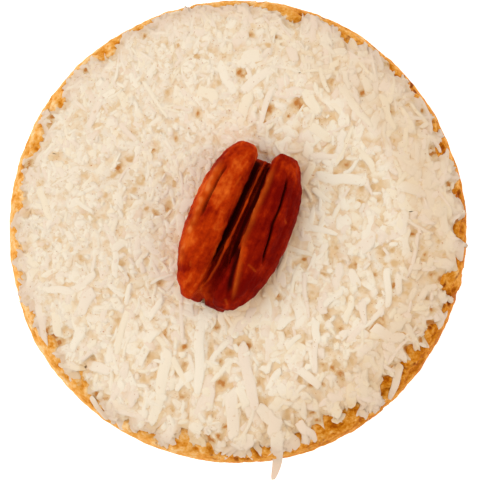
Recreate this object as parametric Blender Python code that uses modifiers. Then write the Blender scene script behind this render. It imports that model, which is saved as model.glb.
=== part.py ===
# A coconut cookie: a round biscuit with a browned rim, a layer of shredded coconut pressed
# on its top, and half a pecan set in the middle of the coconut.
# Metres, +Z up. The origin is on the table, under the middle of the biscuit.

import math

import bmesh
import bpy
from mathutils import Matrix, Vector, noise

# Biscuit
BISCUIT_RADIUS = 0.0375
BISCUIT_THICKNESS = 0.0098      # from the table to the shoulder of its top
BISCUIT_CROWN = 0.0011          # how much higher the middle of the top is
SHOULDER_WIDTH = 0.0040         # the rounded edge between top and side, seen from above
SHOULDER_DROP = 0.0046
FOOT_ROUND = 0.0016             # the smaller round between side and base
BISCUIT_OVAL = 0.00022          # a baked round is never quite round
BISCUIT_WAVER = 0.00010
OVAL_ANGLE = math.radians(85.0)
BISCUIT_STEPS = 72
ARC_STEPS = 6
CROWN_STEPS = 3

# Layer of coconut
CONTACT_GAP = 0.0003
LAYER_RADIUS = 0.0365           # where the layer ends on the biscuit, between the bare patches
LAYER_THICKNESS = 0.0026
LAYER_EDGE_THICKNESS = 0.0008
LAYER_SLOPE_WIDTH = 0.0060      # the layer thins out over this width
LUMP_HEIGHT = 0.00045
LUMP_SIZE = 0.0065
RAGGED_DEPTH = 0.0007           # unevenness of the outline between the bare patches
RAGGED_COUNT = 9.0
RAGGED_PLANE = 0.4              # which slice of the noise the outline follows
PATCH_SOFTNESS = 0.7            # how gently a bare patch runs out at its sides
SLOPE_POWER = 0.5               # how steeply the layer rises from its edge
LAYER_STEPS = 108
UPPER_RINGS = (11, 5)           # rings over the middle, and over the sloping outer width
LOWER_RINGS = (3, 5)

# Bare patches of the rim, going round from +X towards +Y:
# middle of the patch and half its width in degrees, and how far in it reaches.
BARE_PATCHES = [
    (11.0, 3.5, 0.0018),
    (24.0, 4.0, 0.0022),
    (43.0, 3.0, 0.0014),
    (59.5, 4.0, 0.0028),
    (75.0, 4.5, 0.0028),
    (128.0, 4.0, 0.0022),
    (142.0, 3.0, 0.0014),
    (154.0, 3.0, 0.0014),
    (176.0, 11.0, 0.0020),
    (196.0, 3.5, 0.0018),
    (215.0, 11.0, 0.0030),
    (239.0, 4.0, 0.0022),
    (257.0, 7.5, 0.0024),
    (277.0, 3.0, 0.0018),
    (301.0, 11.0, 0.0034),
    (321.5, 5.0, 0.0036),
    (347.0, 4.0, 0.0022),
]

# Pecan half: its length runs along its own +Y, its width along its own +X
PECAN_CENTRE = Vector((0.00029, 0.00083, 0.0))
PECAN_TURN = math.radians(-23.0)
PECAN_HALF_LENGTH = 0.01415
PECAN_HALF_WIDTH = 0.0085
PECAN_HEIGHT = 0.0076
PECAN_OUTLINE_POWER = 2.7       # an oval with fuller shoulders than an ellipse
PECAN_SINK = 0.0009             # how deep it is pressed into the coconut
LOBE_HEIGHT = 0.0070
LOBE_POWER = 3.0                # blunt round ends
# For each lobe: how far its upper and lower ends reach along the nut, how far aside from the
# nut's middle line it lies at half length and at its upper and lower tips, and its half width.
LOBES = {
    "left": {
        "reach": (0.0136, 0.0141),
        "middle": -0.0051,
        "tips": (-0.0037, -0.0026),
        "half_width": 0.0034,
    },
    "right": {
        "reach": (0.0141, 0.0139),
        "middle": 0.0049,
        "tips": (0.0029, 0.0024),
        "half_width": 0.0036,
    },
}
KEEL_REACH = (0.0116, 0.0124)
KEEL_HALF_WIDTHS = (0.00045, 0.0011)  # thin at its upper end, broad at its lower
KEEL_TOP = 0.0061
KEEL_OFFSET = -0.0005
KEEL_DRIFT = -0.0003            # its lower end leans towards the left lobe
BODY_HEIGHT = 0.0042
BODY_HALF_LENGTH = 0.0115
BODY_HALF_WIDTH = 0.0077
BODY_POWER = 3.0
SEAT_GAP = 0.0006
SEAT_CLEARANCE = 1.12           # the hollow in the coconut, as a share of the pecan's outline
LOBE_SEGMENTS = 22
LOBE_RINGS = 15
KEEL_SEGMENTS = 10

# Colours: base colour, roughness
CRUST_FINISH = ((0.66, 0.34, 0.12, 1.0), 0.78)
COCONUT_FINISH = ((0.84, 0.70, 0.52, 1.0), 0.62)
PECAN_FINISH = ((0.26, 0.035, 0.006, 1.0), 0.34)


def clear_scene():
    for old in list(bpy.data.objects):
        bpy.data.objects.remove(old, do_unlink=True)


def new_collection(name):
    collection = bpy.data.collections.new(name)
    bpy.context.scene.collection.children.link(collection)
    return collection


def food_material(name, finish):
    colour, roughness = finish
    material = bpy.data.materials.new(name)
    material.use_nodes = True
    shader = material.node_tree.nodes["Principled BSDF"]
    shader.inputs["Base Color"].default_value = colour
    shader.inputs["Roughness"].default_value = roughness
    shader.inputs["Metallic"].default_value = 0.0
    material.diffuse_color = colour
    return material


def object_from_bmesh(name, shape, collection, material):
    bmesh.ops.recalc_face_normals(shape, faces=shape.faces)
    mesh = bpy.data.meshes.new(name)
    shape.to_mesh(mesh)
    shape.free()
    mesh.shade_smooth()
    mesh.materials.append(material)
    piece = bpy.data.objects.new(name, mesh)
    collection.objects.link(piece)
    return piece


def smooth_step(value):
    value = min(max(value, 0.0), 1.0)
    return value * value * (3.0 - 2.0 * value)


def uneven_radius(angle):
    """How far the biscuit's side stands in or out of a true circle at an angle."""
    oval = BISCUIT_OVAL * math.cos(2.0 * (angle - OVAL_ANGLE))
    waver = BISCUIT_WAVER * math.cos(5.0 * angle)
    return oval + waver


def biscuit_top(radius):
    """Height of the biscuit's top at a radius, and the way its surface faces there."""
    flat_radius = BISCUIT_RADIUS - SHOULDER_WIDTH
    if radius <= flat_radius:
        share = radius / flat_radius
        height = BISCUIT_THICKNESS + BISCUIT_CROWN * (1.0 - share * share)
        fall = 2.0 * BISCUIT_CROWN * share / flat_radius
    else:
        share = (radius - flat_radius) / SHOULDER_WIDTH
        rise = math.sqrt(max(1.0 - share * share, 1e-6))
        height = BISCUIT_THICKNESS - SHOULDER_DROP * (1.0 - rise)
        fall = SHOULDER_DROP / SHOULDER_WIDTH * share / rise
    facing = Vector((fall, 1.0)).normalized()
    return height, facing


def biscuit_profile():
    """The biscuit's half section from the middle of its top, down its side, to its base."""
    flat_radius = BISCUIT_RADIUS - SHOULDER_WIDTH
    points = []
    for step in range(CROWN_STEPS):
        radius = flat_radius * step / CROWN_STEPS
        points.append((radius, biscuit_top(radius)[0]))
    for step in range(ARC_STEPS + 1):
        turn = math.radians(90.0) * step / ARC_STEPS
        radius = flat_radius + SHOULDER_WIDTH * math.sin(turn)
        height = BISCUIT_THICKNESS - SHOULDER_DROP * (1.0 - math.cos(turn))
        points.append((radius, height))
    for step in range(ARC_STEPS // 2 + 1):
        turn = math.radians(90.0) * step / (ARC_STEPS // 2)
        radius = BISCUIT_RADIUS - FOOT_ROUND * (1.0 - math.cos(turn))
        height = FOOT_ROUND * (1.0 - math.sin(turn))
        points.append((radius, height))
    points.append((0.0, 0.0))
    return points


def make_biscuit(collection, material):
    """A turned round, then drawn very slightly oval."""
    profile = bmesh.new()
    verts = [profile.verts.new((radius, 0.0, height)) for radius, height in biscuit_profile()]
    for upper, lower in zip(verts, verts[1:]):
        profile.edges.new((upper, lower))
    mesh = bpy.data.meshes.new("biscuit_profile")
    profile.to_mesh(mesh)
    profile.free()
    turned = bpy.data.objects.new("biscuit_profile", mesh)
    collection.objects.link(turned)
    screw = turned.modifiers.new("Turn", "SCREW")
    screw.axis = "Z"
    screw.steps = BISCUIT_STEPS
    screw.render_steps = BISCUIT_STEPS
    screw.use_merge_vertices = True
    screw.merge_threshold = 0.00001
    bpy.context.view_layer.update()
    evaluated = turned.evaluated_get(bpy.context.evaluated_depsgraph_get())
    shape = bmesh.new()
    shape.from_mesh(evaluated.to_mesh())
    bpy.data.objects.remove(turned, do_unlink=True)
    bmesh.ops.remove_doubles(shape, verts=shape.verts, dist=0.00001)
    for vert in shape.verts:
        radius = math.hypot(vert.co.x, vert.co.y)
        if radius > 0.0:
            angle = math.atan2(vert.co.y, vert.co.x)
            stretch = 1.0 + uneven_radius(angle) / BISCUIT_RADIUS
            vert.co.x *= stretch
            vert.co.y *= stretch
    return object_from_bmesh("biscuit", shape, collection, material)


def layer_edge(angle):
    """Radius at which the coconut ends on the biscuit, drawn in at the bare patches."""
    ragged = noise.noise(Vector((math.cos(angle), math.sin(angle), RAGGED_PLANE)) * RAGGED_COUNT)
    bare = 0.0
    for middle, half_width, depth in BARE_PATCHES:
        away = (math.degrees(angle) - middle + 180.0) % 360.0 - 180.0
        bare = max(bare, depth * math.exp(-PATCH_SOFTNESS * (away / half_width) ** 2))
    return LAYER_RADIUS - RAGGED_DEPTH * abs(ragged) - bare


def pecan_share(x, y):
    """0 at the middle of the pecan's plan outline, 1 on it, more outside it."""
    across = (x - PECAN_CENTRE.x) * math.cos(PECAN_TURN) + (y - PECAN_CENTRE.y) * math.sin(PECAN_TURN)
    along = (y - PECAN_CENTRE.y) * math.cos(PECAN_TURN) - (x - PECAN_CENTRE.x) * math.sin(PECAN_TURN)
    power = PECAN_OUTLINE_POWER
    spread = abs(across / PECAN_HALF_WIDTH) ** power + abs(along / PECAN_HALF_LENGTH) ** power
    return spread ** (1.0 / power)


def pecan_base_height():
    """Height of the pecan's underside: pressed a little below the coconut's surface."""
    return BISCUIT_THICKNESS + BISCUIT_CROWN + CONTACT_GAP + LAYER_THICKNESS - PECAN_SINK


def layer_thickness(x, y, to_edge):
    """Thickness of the coconut at a place that lies to_edge inside the layer's outline."""
    body = smooth_step(to_edge / LAYER_SLOPE_WIDTH) ** SLOPE_POWER
    lump = noise.noise(Vector((x, y, 0.0)) / LUMP_SIZE) * LUMP_HEIGHT * body
    thickness = LAYER_EDGE_THICKNESS + (LAYER_THICKNESS - LAYER_EDGE_THICKNESS) * body + lump
    share = pecan_share(x, y) / SEAT_CLEARANCE
    if share < 1.0:
        top = biscuit_top(math.hypot(x, y))[0] + CONTACT_GAP
        seat_floor = pecan_base_height() - SEAT_GAP - top
        rise = 1.0 - (1.0 - share ** BODY_POWER) ** (1.0 / BODY_POWER)
        thickness = min(thickness, seat_floor + rise * BODY_HEIGHT)
    return thickness


def ring_places(rings):
    """Where the rings of a sheet lie: 0 to 1 over the middle, 1 to 2 over the outer slope."""
    middle, slope = rings
    places = [ring / middle for ring in range(middle)]
    return places + [1.0 + ring / slope for ring in range(slope + 1)]


def make_coconut_layer(collection, material):
    """A lower sheet that follows the biscuit's top and an uneven upper one, turned as one body."""
    shape = bmesh.new()
    verts = [shape.verts.new((place, 0.0, -1.0)) for place in ring_places(LOWER_RINGS)]
    verts += [shape.verts.new((place, 0.0, 1.0)) for place in reversed(ring_places(UPPER_RINGS))]
    for start, end in zip(verts, verts[1:]):
        shape.edges.new((start, end))
    bmesh.ops.spin(
        shape,
        geom=shape.verts[:] + shape.edges[:],
        cent=(0.0, 0.0, 0.0),
        axis=(0.0, 0.0, 1.0),
        angle=math.tau,
        steps=LAYER_STEPS,
        use_merge=True,
    )
    bmesh.ops.remove_doubles(shape, verts=shape.verts, dist=0.0001)
    for vert in shape.verts:
        place = math.hypot(vert.co.x, vert.co.y)
        angle = math.atan2(vert.co.y, vert.co.x) % math.tau
        edge = layer_edge(angle)
        inner = edge - LAYER_SLOPE_WIDTH
        radius = min(place, 1.0) * inner + max(place - 1.0, 0.0) * LAYER_SLOPE_WIDTH
        height, facing = biscuit_top(radius)
        lift = CONTACT_GAP
        if vert.co.z > 0.0:
            x = radius * math.cos(angle)
            y = radius * math.sin(angle)
            lift += layer_thickness(x, y, edge - radius)
        outwards = radius + facing.x * lift + uneven_radius(angle) * radius / BISCUIT_RADIUS
        vert.co = (outwards * math.cos(angle), outwards * math.sin(angle), height + facing.y * lift)
    return object_from_bmesh("coconut_layer", shape, collection, material)


def long_sphere(segments, rings):
    """A unit sphere with its poles on the Y axis."""
    shape = bmesh.new()
    bmesh.ops.create_uvsphere(shape, u_segments=segments, v_segments=rings, radius=1.0)
    upright = Matrix.Rotation(math.radians(-90.0), 4, "X")
    bmesh.ops.transform(shape, matrix=upright, verts=shape.verts)
    return shape


def section(vert):
    """A sphere's vert as its place from pole to pole and its direction round the section."""
    pole = vert.co.y
    girth = math.hypot(vert.co.x, vert.co.z)
    if girth < 0.001:
        return pole, 0.0, 0.0
    return pole, vert.co.x / girth, vert.co.z / girth


def fullness(pole, power):
    """Share of the full girth that is left at a place between the middle and a pole."""
    return max(1.0 - abs(pole) ** power, 0.0) ** (1.0 / power)


def make_lobe(side, collection, material):
    """One of the two long lobes: a blunt sausage bent round the trough."""
    lobe = LOBES[side]
    shape = long_sphere(LOBE_SEGMENTS, LOBE_RINGS)
    for vert in shape.verts:
        pole, across, up = section(vert)
        upper_end = pole > 0.0
        reach = lobe["reach"][0] if upper_end else lobe["reach"][1]
        tip = lobe["tips"][0] if upper_end else lobe["tips"][1]
        girth = fullness(pole, LOBE_POWER)
        middle = lobe["middle"] + (tip - lobe["middle"]) * pole * pole
        vert.co.x = middle + across * girth * lobe["half_width"]
        vert.co.y = pole * reach
        vert.co.z = PECAN_HEIGHT - 0.5 * LOBE_HEIGHT * (1.0 - up * girth)
    return object_from_bmesh("pecan_" + side + "_lobe", shape, collection, material)


def make_body(collection, material):
    """The flat body that joins the lobes and closes the pecan's underside."""
    shape = long_sphere(LOBE_SEGMENTS, LOBE_RINGS)
    for vert in shape.verts:
        pole, across, up = section(vert)
        girth = fullness(pole, LOBE_POWER)
        corner = (abs(across) ** BODY_POWER + abs(up) ** BODY_POWER) ** (1.0 / BODY_POWER)
        if corner > 0.0:
            across /= corner
            up /= corner
        vert.co.x = across * girth * BODY_HALF_WIDTH
        vert.co.y = pole * BODY_HALF_LENGTH
        vert.co.z = 0.5 * BODY_HEIGHT * (1.0 + up * girth)
    return object_from_bmesh("pecan_half", shape, collection, material)


def make_keel(collection, material):
    """The ridge along the middle of the trough, thin above and broader below."""
    shape = long_sphere(KEEL_SEGMENTS, LOBE_RINGS)
    half_height = 0.5 * KEEL_TOP
    upper_width, lower_width = KEEL_HALF_WIDTHS
    for vert in shape.verts:
        pole, across, up = section(vert)
        girth = fullness(pole, LOBE_POWER)
        half_width = lower_width + (upper_width - lower_width) * (pole + 1.0) * 0.5
        drift = KEEL_DRIFT * min(pole, 0.0) ** 2
        vert.co.x = KEEL_OFFSET + drift + across * girth * half_width
        vert.co.y = pole * (KEEL_REACH[0] if pole > 0.0 else KEEL_REACH[1])
        vert.co.z = half_height * (1.0 + up * girth)
    return object_from_bmesh("pecan_keel", shape, collection, material)


def join_into(target, cutter):
    """Unite a solid with another that stays as a guide."""
    union = target.modifiers.new("Join " + cutter.name, "BOOLEAN")
    union.operation = "UNION"
    union.solver = "EXACT"
    union.object = cutter
    cutter.hide_render = True
    cutter.display_type = "WIRE"


def make_pecan(collection, guides, material):
    """Two lobes and a keel on a flat body, turned and set down in the coconut."""
    place = Matrix.Translation(PECAN_CENTRE + Vector((0.0, 0.0, pecan_base_height())))
    place = place @ Matrix.Rotation(PECAN_TURN, 4, "Z")
    pecan = make_body(collection, material)
    pecan.matrix_world = place
    pieces = [
        make_lobe("left", guides, material),
        make_lobe("right", guides, material),
        make_keel(guides, material),
    ]
    for piece in pieces:
        piece.matrix_world = place
        join_into(pecan, piece)
    return pecan


def main():
    clear_scene()
    cookie = new_collection("coconut cookie")
    guides = new_collection("pecan lobes")
    crust = food_material("browned biscuit", CRUST_FINISH)
    coconut = food_material("shredded coconut", COCONUT_FINISH)
    pecan = food_material("pecan skin", PECAN_FINISH)
    make_biscuit(cookie, crust)
    make_coconut_layer(cookie, coconut)
    make_pecan(cookie, guides, pecan)


main()
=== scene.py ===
import math

import bmesh
import bpy
import numpy as np
from mathutils import Matrix, Vector, noise


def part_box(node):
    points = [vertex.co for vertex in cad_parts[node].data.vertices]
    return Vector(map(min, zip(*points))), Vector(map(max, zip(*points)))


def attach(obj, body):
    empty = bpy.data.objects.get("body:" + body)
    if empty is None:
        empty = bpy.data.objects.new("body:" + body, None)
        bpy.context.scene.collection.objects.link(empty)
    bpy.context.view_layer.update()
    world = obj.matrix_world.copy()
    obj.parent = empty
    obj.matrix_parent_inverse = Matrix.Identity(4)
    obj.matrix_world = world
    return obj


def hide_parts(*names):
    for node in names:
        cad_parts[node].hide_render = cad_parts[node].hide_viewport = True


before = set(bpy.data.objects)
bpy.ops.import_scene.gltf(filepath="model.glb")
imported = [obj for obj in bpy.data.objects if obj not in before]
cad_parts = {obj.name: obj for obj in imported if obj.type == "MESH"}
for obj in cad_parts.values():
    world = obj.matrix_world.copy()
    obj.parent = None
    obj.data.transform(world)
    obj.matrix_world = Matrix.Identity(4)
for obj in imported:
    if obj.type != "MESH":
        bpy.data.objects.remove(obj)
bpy.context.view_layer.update()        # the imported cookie: biscuit, coconut_layer and pecan_half

mm = 0.001               # shapes below are worked out in millimetres
random = np.random.default_rng(41)
bpy.context.scene.view_settings.view_transform = "Standard"
print("packed cookie is loaded")


def rgb(red, green, blue):
    # a screen colour, 0 to 255, as the linear colour a shader takes
    linear = [((part / 255 + 0.055) / 1.055) ** 2.4 for part in (red, green, blue)]
    return linear + [1.0]


def smoothStep(value):
    value = np.clip(value, 0.0, 1.0)
    return value * value * (3.0 - 2.0 * value)


def wobble(places, size, seed=0.0):
    # smooth noise, about -1 to 1, at each of many places
    shift = Vector((seed * 7.31, seed * 3.17, seed * 5.71))
    return np.array([noise.noise(Vector(place) / size + shift) for place in places])


def turned(profile, steps):
    # a half section from the axis out and back, spun into a closed round
    shape = bmesh.new()
    verts = [shape.verts.new((radius, 0.0, height)) for radius, height in profile]
    edges = [shape.edges.new(pair) for pair in zip(verts, verts[1:])]
    bmesh.ops.spin(shape, geom=verts + edges, cent=(0, 0, 0), axis=(0, 0, 1),
                   angle=math.tau, steps=steps, use_merge=True)
    bmesh.ops.remove_doubles(shape, verts=shape.verts, dist=0.0001)
    bmesh.ops.recalc_face_normals(shape, faces=shape.faces)
    return shape


def boxed(shape, depth):
    # closes an open sheet by a side all round, down to depth, and a floor
    border = [edge for edge in shape.edges if edge.is_boundary]
    side = bmesh.ops.extrude_edge_only(shape, edges=border)["geom"]
    for vert in [item for item in side if isinstance(item, bmesh.types.BMVert)]:
        vert.co.z = depth
    foot = [item for item in side if isinstance(item, bmesh.types.BMEdge) and item.is_boundary]
    bmesh.ops.edgeloop_fill(shape, edges=foot)
    bmesh.ops.recalc_face_normals(shape, faces=shape.faces)
    shape.verts.index_update()
    return shape


def vertPlaces(mesh):
    found = np.empty(len(mesh.vertices) * 3, np.float32)
    mesh.vertices.foreach_get("co", found)
    return found.reshape(-1, 3).astype(float)


def vertNormals(mesh):
    found = np.empty(len(mesh.vertices) * 3, np.float32)
    mesh.vertex_normals.foreach_get("vector", found)
    return found.reshape(-1, 3).astype(float)


def movePlaces(mesh, places):
    mesh.vertices.foreach_set("co", places.astype(np.float32).ravel())
    mesh.update()


def addShade(mesh, name, values):
    shade = mesh.attributes.new(name, "FLOAT", "POINT")
    shade.data.foreach_set("value", values.astype(np.float32))


def meshFrom(shape, name):
    mesh = bpy.data.meshes.new(name)
    shape.to_mesh(mesh)
    shape.free()
    return mesh


def addPiece(name, mesh, material, node):
    # every piece sits at the origin, its place in its mesh, and rides on the cookie
    mesh.materials.clear()
    mesh.materials.append(material)
    piece = bpy.data.objects.new(name, mesh)
    bpy.context.scene.collection.objects.link(piece)
    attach(piece, "root")
    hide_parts(node)
    print("made", name, len(mesh.vertices), "verts", len(mesh.polygons), "faces")
    return piece


class Value:
    # wraps a shader socket, so that plain arithmetic on it adds Math nodes
    def __init__(self, paint, socket):
        self.paint = paint
        self.socket = socket

    def __add__(self, other):
        return self.paint.maths("ADD", self, other)

    def __radd__(self, other):
        return self.paint.maths("ADD", other, self)

    def __sub__(self, other):
        return self.paint.maths("SUBTRACT", self, other)

    def __rsub__(self, other):
        return self.paint.maths("SUBTRACT", other, self)

    def __mul__(self, other):
        return self.paint.maths("MULTIPLY", self, other)

    def __rmul__(self, other):
        return self.paint.maths("MULTIPLY", other, self)


class Paint:
    # a material being mixed
    def __init__(self, name):
        self.material = bpy.data.materials.new(name)
        self.material.use_nodes = True
        self.tree = self.material.node_tree
        self.shader = self.tree.nodes["Principled BSDF"]

    def add(self, kind, settings, sockets, output=0):
        # any node: its settings first, then the values or links of its sockets
        node = self.tree.nodes.new("ShaderNode" + kind)
        for name, value in settings.items():
            if name == "stops":
                for place, colour in value[2:]:
                    node.color_ramp.elements.new(place)
                for element, (place, colour) in zip(node.color_ramp.elements, value):
                    element.position = place
                    element.color = colour
            else:
                setattr(node, name, value)
        for name, value in sockets.items():
            self.feed(node.inputs[name], value)
        return Value(self, node.outputs[output])

    def feed(self, socket, value):
        if isinstance(value, Value):
            self.tree.links.new(value.socket, socket)
        else:
            socket.default_value = value

    def maths(self, operation, first, second):
        return self.add("Math", {"operation": operation}, {0: first, 1: second})

    def band(self, value, low, high):
        # 0 below low, 1 above high, smooth between
        sockets = {"Value": value, "From Min": low, "From Max": high}
        return self.add("MapRange", {"interpolation_type": "SMOOTHSTEP"}, sockets)

    def mix(self, factor, first, second):
        # between two colours
        return self.add("Mix", {"data_type": "RGBA"}, {0: factor, 6: first, 7: second}, 2)

    def ramp(self, value, *stops):
        return self.add("ValToRGB", {"stops": sorted(stops)}, {"Fac": value})

    def place(self):
        return self.add("TexCoord", {}, {}, "Object")

    def shade(self, name):
        # a value that addShade left on the mesh
        return self.add("Attribute", {"attribute_name": name}, {}, 2)

    def cloud(self, place, size, detail=2.0, roughness=0.5):
        # noise whose features are about size millimetres
        sockets = {"Vector": place, "Scale": 1.0 / (size * mm),
                   "Detail": detail, "Roughness": roughness}
        return self.add("TexNoise", {}, sockets)

    def bump(self, height, distance, strength=1.0):
        return self.add("Bump", {}, {"Height": height, "Distance": distance * mm, "Strength": strength})

    def finish(self, **sockets):
        for name, value in sockets.items():
            self.feed(self.shader.inputs[name.replace("_", " ")], value)
        return self.material


# the camera looks straight down from far off
view = {
    "width": 78.36,          # mm seen across, at the height of the biscuit's widest line
    "widestHeight": 5.2,
    "middle": (0.43, -1.36),
    "lens": 300.0,
    "sensor": 36.0,
}

# each light: where it stands in mm, how wide it is in mm, and its power in watts
lights = {
    "window left": ((-820.0, -140.0, 860.0), 1400.0, 8.8),
    "top fill": ((0.0, 900.0, 700.0), 800.0, 1.95),
    "near fill": ((100.0, -900.0, 800.0), 800.0, 0.1),
    "right fill": ((900.0, 0.0, 600.0), 800.0, 3.1),
}
lightAim = (0.0, 0.0, 10.0)  # where all of them point
skyStrength = 0.46

paper = {
    "reach": 1500.0,         # half its width in mm
    "white": (0.95, 0.95, 0.95, 1.0),
    "roughness": 0.9,
    "glow": 0.7,             # keeps it white all over
}


def makeCamera():
    camera = bpy.data.cameras.new("camera")
    camera.lens = view["lens"]
    camera.sensor_width = view["sensor"]
    camera.clip_end = 10.0   # in metres, past the floor
    away = view["width"] * view["lens"] / view["sensor"]
    holder = bpy.data.objects.new("camera", camera)
    holder.location = Vector((*view["middle"], view["widestHeight"] + away)) * mm
    bpy.context.scene.collection.objects.link(holder)
    bpy.context.scene.camera = holder


def makeLights():
    aim = Vector(lightAim)
    for name, (place, size, power) in lights.items():
        lamp = bpy.data.lights.new(name, "AREA")
        lamp.shape = "SQUARE"
        lamp.size = size * mm
        lamp.energy = power
        holder = bpy.data.objects.new(name, lamp)
        holder.location = Vector(place) * mm
        holder.rotation_euler = (aim - Vector(place)).to_track_quat("-Z", "Y").to_euler()
        bpy.context.scene.collection.objects.link(holder)
    world = bpy.data.worlds.new("studio")
    world.use_nodes = True
    sky = world.node_tree.nodes["Background"]
    sky.inputs["Color"].default_value = (1.0, 1.0, 1.0, 1.0)
    sky.inputs["Strength"].default_value = skyStrength
    bpy.context.scene.world = world


def makeFloor():
    shape = bmesh.new()
    bmesh.ops.create_grid(shape, x_segments=1, y_segments=1, size=paper["reach"] * mm)
    floor = bpy.data.objects.new("floor", meshFrom(shape, "floor"))
    bpy.context.scene.collection.objects.link(floor)
    paint = Paint("white paper")
    floor.data.materials.append(paint.finish(
        Base_Color=paper["white"],
        Roughness=paper["roughness"],
        Emission_Color=paper["white"],
        Emission_Strength=paper["glow"],
    ))


makeCamera()
makeLights()
makeFloor()
print("studio is set")


biscuit = {
    "crown": 1.1,            # how much the middle of the top rises above the shoulder
    "shoulderWidth": 4.0,    # how wide the rounded upper edge is
    "shoulderDrop": 4.6,     # and how high
    "footRound": 1.6,
    "oval": 0.22,            # how much the outline is drawn out
    "ovalAngle": 85.0,       # and which way, in degrees
    "waver": 0.10,           # and how much it waves besides
    "fineStep": 0.33,        # spacing of the skin's verts where the crust shows
    "steps": 560,            # and how many of them go round
    "hiddenFrom": 5.0,       # how far inside the shoulder the skin may be coarse
}
low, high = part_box("biscuit")
biscuit["radius"] = (high.x - low.x + high.y - low.y) / 4 / mm
biscuit["shoulder"] = high.z / mm - biscuit["crown"]


def unevenRadius(angle):
    # how far the outline lies outside a circle
    oval = biscuit["oval"] * np.cos(2.0 * (angle - math.radians(biscuit["ovalAngle"])))
    return oval + biscuit["waver"] * np.cos(5.0 * angle)


def biscuitTop(radius):
    # height of the biscuit's top over its base
    flat = biscuit["radius"] - biscuit["shoulderWidth"]
    inside = biscuit["shoulder"] + biscuit["crown"] * (1.0 - np.minimum(radius / flat, 1.0) ** 2)
    over = np.clip((radius - flat) / biscuit["shoulderWidth"], 0.0, 1.0)
    return inside - biscuit["shoulderDrop"] * (1.0 - np.sqrt(1.0 - over * over))


def biscuitProfile():
    # half section of the biscuit: over the top, down the side and back underneath
    radius = biscuit["radius"]
    flat = radius - biscuit["shoulderWidth"]
    step = biscuit["fineStep"]
    hidden = flat - biscuit["hiddenFrom"]
    points = [(r, float(biscuitTop(r))) for r in np.linspace(0.0, hidden, 9)]
    points += [(r, float(biscuitTop(r))) for r in np.arange(hidden + step, flat, step)]
    for turn in np.linspace(0.0, math.pi / 2, 24):
        drop = biscuit["shoulderDrop"] * (1.0 - math.cos(turn))
        points.append((flat + biscuit["shoulderWidth"] * math.sin(turn), biscuit["shoulder"] - drop))
    sideTop = biscuit["shoulder"] - biscuit["shoulderDrop"]
    foot = biscuit["footRound"]
    points += [(radius, z) for z in np.arange(sideTop - step, foot, -step)]
    for turn in np.linspace(0.0, math.pi / 2, 9):
        points.append((radius - foot * (1.0 - math.cos(turn)), foot * (1.0 - math.sin(turn))))
    points += [(r, 0.0) for r in np.linspace(radius - foot - 0.9, 0.0, 40)]
    return points


# where the coconut lies, in mm
layer = {
    "radius": 37.4,          # how far out the coconut may reach on the biscuit
    "backOff": 0.1,          # how much deeper every bare patch is than its own number
    "thickness": 2.6,
    "slopeWidth": 6.0,       # how far inside its edge it is as thick as that
    "shredDepth": 0.85,      # how much of the thickness is loose shreds, the rest is core
    "lump": 0.35,            # how high its lumps are
    "lumpSize": 6.5,
}

# bare patches of the rim: middle and half width in degrees, how far in they reach in mm
barePatches = [
    (0.5, 2.2, 1.8), (10.0, 2.4, 1.3), (21.5, 2.8, 2.0), (28.0, 1.6, 1.0), (38.5, 2.0, 0.7),
    (45.0, 2.2, 1.2), (53.0, 3.0, 0.4), (60.0, 3.2, 2.0), (67.0, 2.5, 0.4), (76.0, 3.4, 2.1),
    (83.5, 4.5, 0.9), (93.5, 3.5, 0.5), (115.0, 3.5, 0.5), (125.5, 3.8, 2.0), (133.0, 3.0, 0.2),
    (143.5, 3.6, 2.0), (156.0, 4.3, 2.0), (166.0, 2.4, 1.1), (171.5, 2.6, 1.8), (174.8, 1.4, 3.4),
    (180.5, 2.4, 0.8), (184.0, 2.4, 1.9), (192.0, 2.4, 1.2), (201.0, 3.0, 1.4), (205.5, 2.2, 0.9),
    (211.0, 3.2, 2.6), (216.5, 2.4, 2.0), (222.0, 2.2, 4.0), (225.5, 1.6, 3.0), (230.0, 3.6, 1.5),
    (240.0, 1.8, 1.7), (246.5, 3.2, 1.7), (255.5, 2.8, 4.4), (261.0, 3.0, 2.6), (268.0, 3.2, 1.6),
    (274.0, 1.8, 2.4), (277.3, 1.9, 3.6), (282.5, 1.8, 0.7), (286.0, 2.0, 3.3), (291.5, 2.6, 3.4),
    (296.0, 2.2, 4.3), (300.8, 2.4, 4.4), (304.5, 2.2, 3.4), (314.0, 3.2, 3.4), (320.5, 3.2, 2.8),
    (325.8, 2.2, 3.4), (332.5, 2.8, 2.2), (340.0, 2.0, 1.2), (346.5, 3.2, 2.8), (352.5, 2.0, 1.4),
]


def layerEdge(angle):
    # radius that the coconut reaches at an angle, drawn in at each bare patch
    degrees = np.degrees(angle)
    bare = np.zeros_like(degrees)
    for middle, halfWidth, depth in barePatches:
        away = (degrees - middle + 180.0) % 360.0 - 180.0
        bare = np.maximum(bare, (depth + layer["backOff"]) * np.exp(-0.8 * (away / halfWidth) ** 4))
    return layer["radius"] + unevenRadius(angle) - bare


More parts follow.
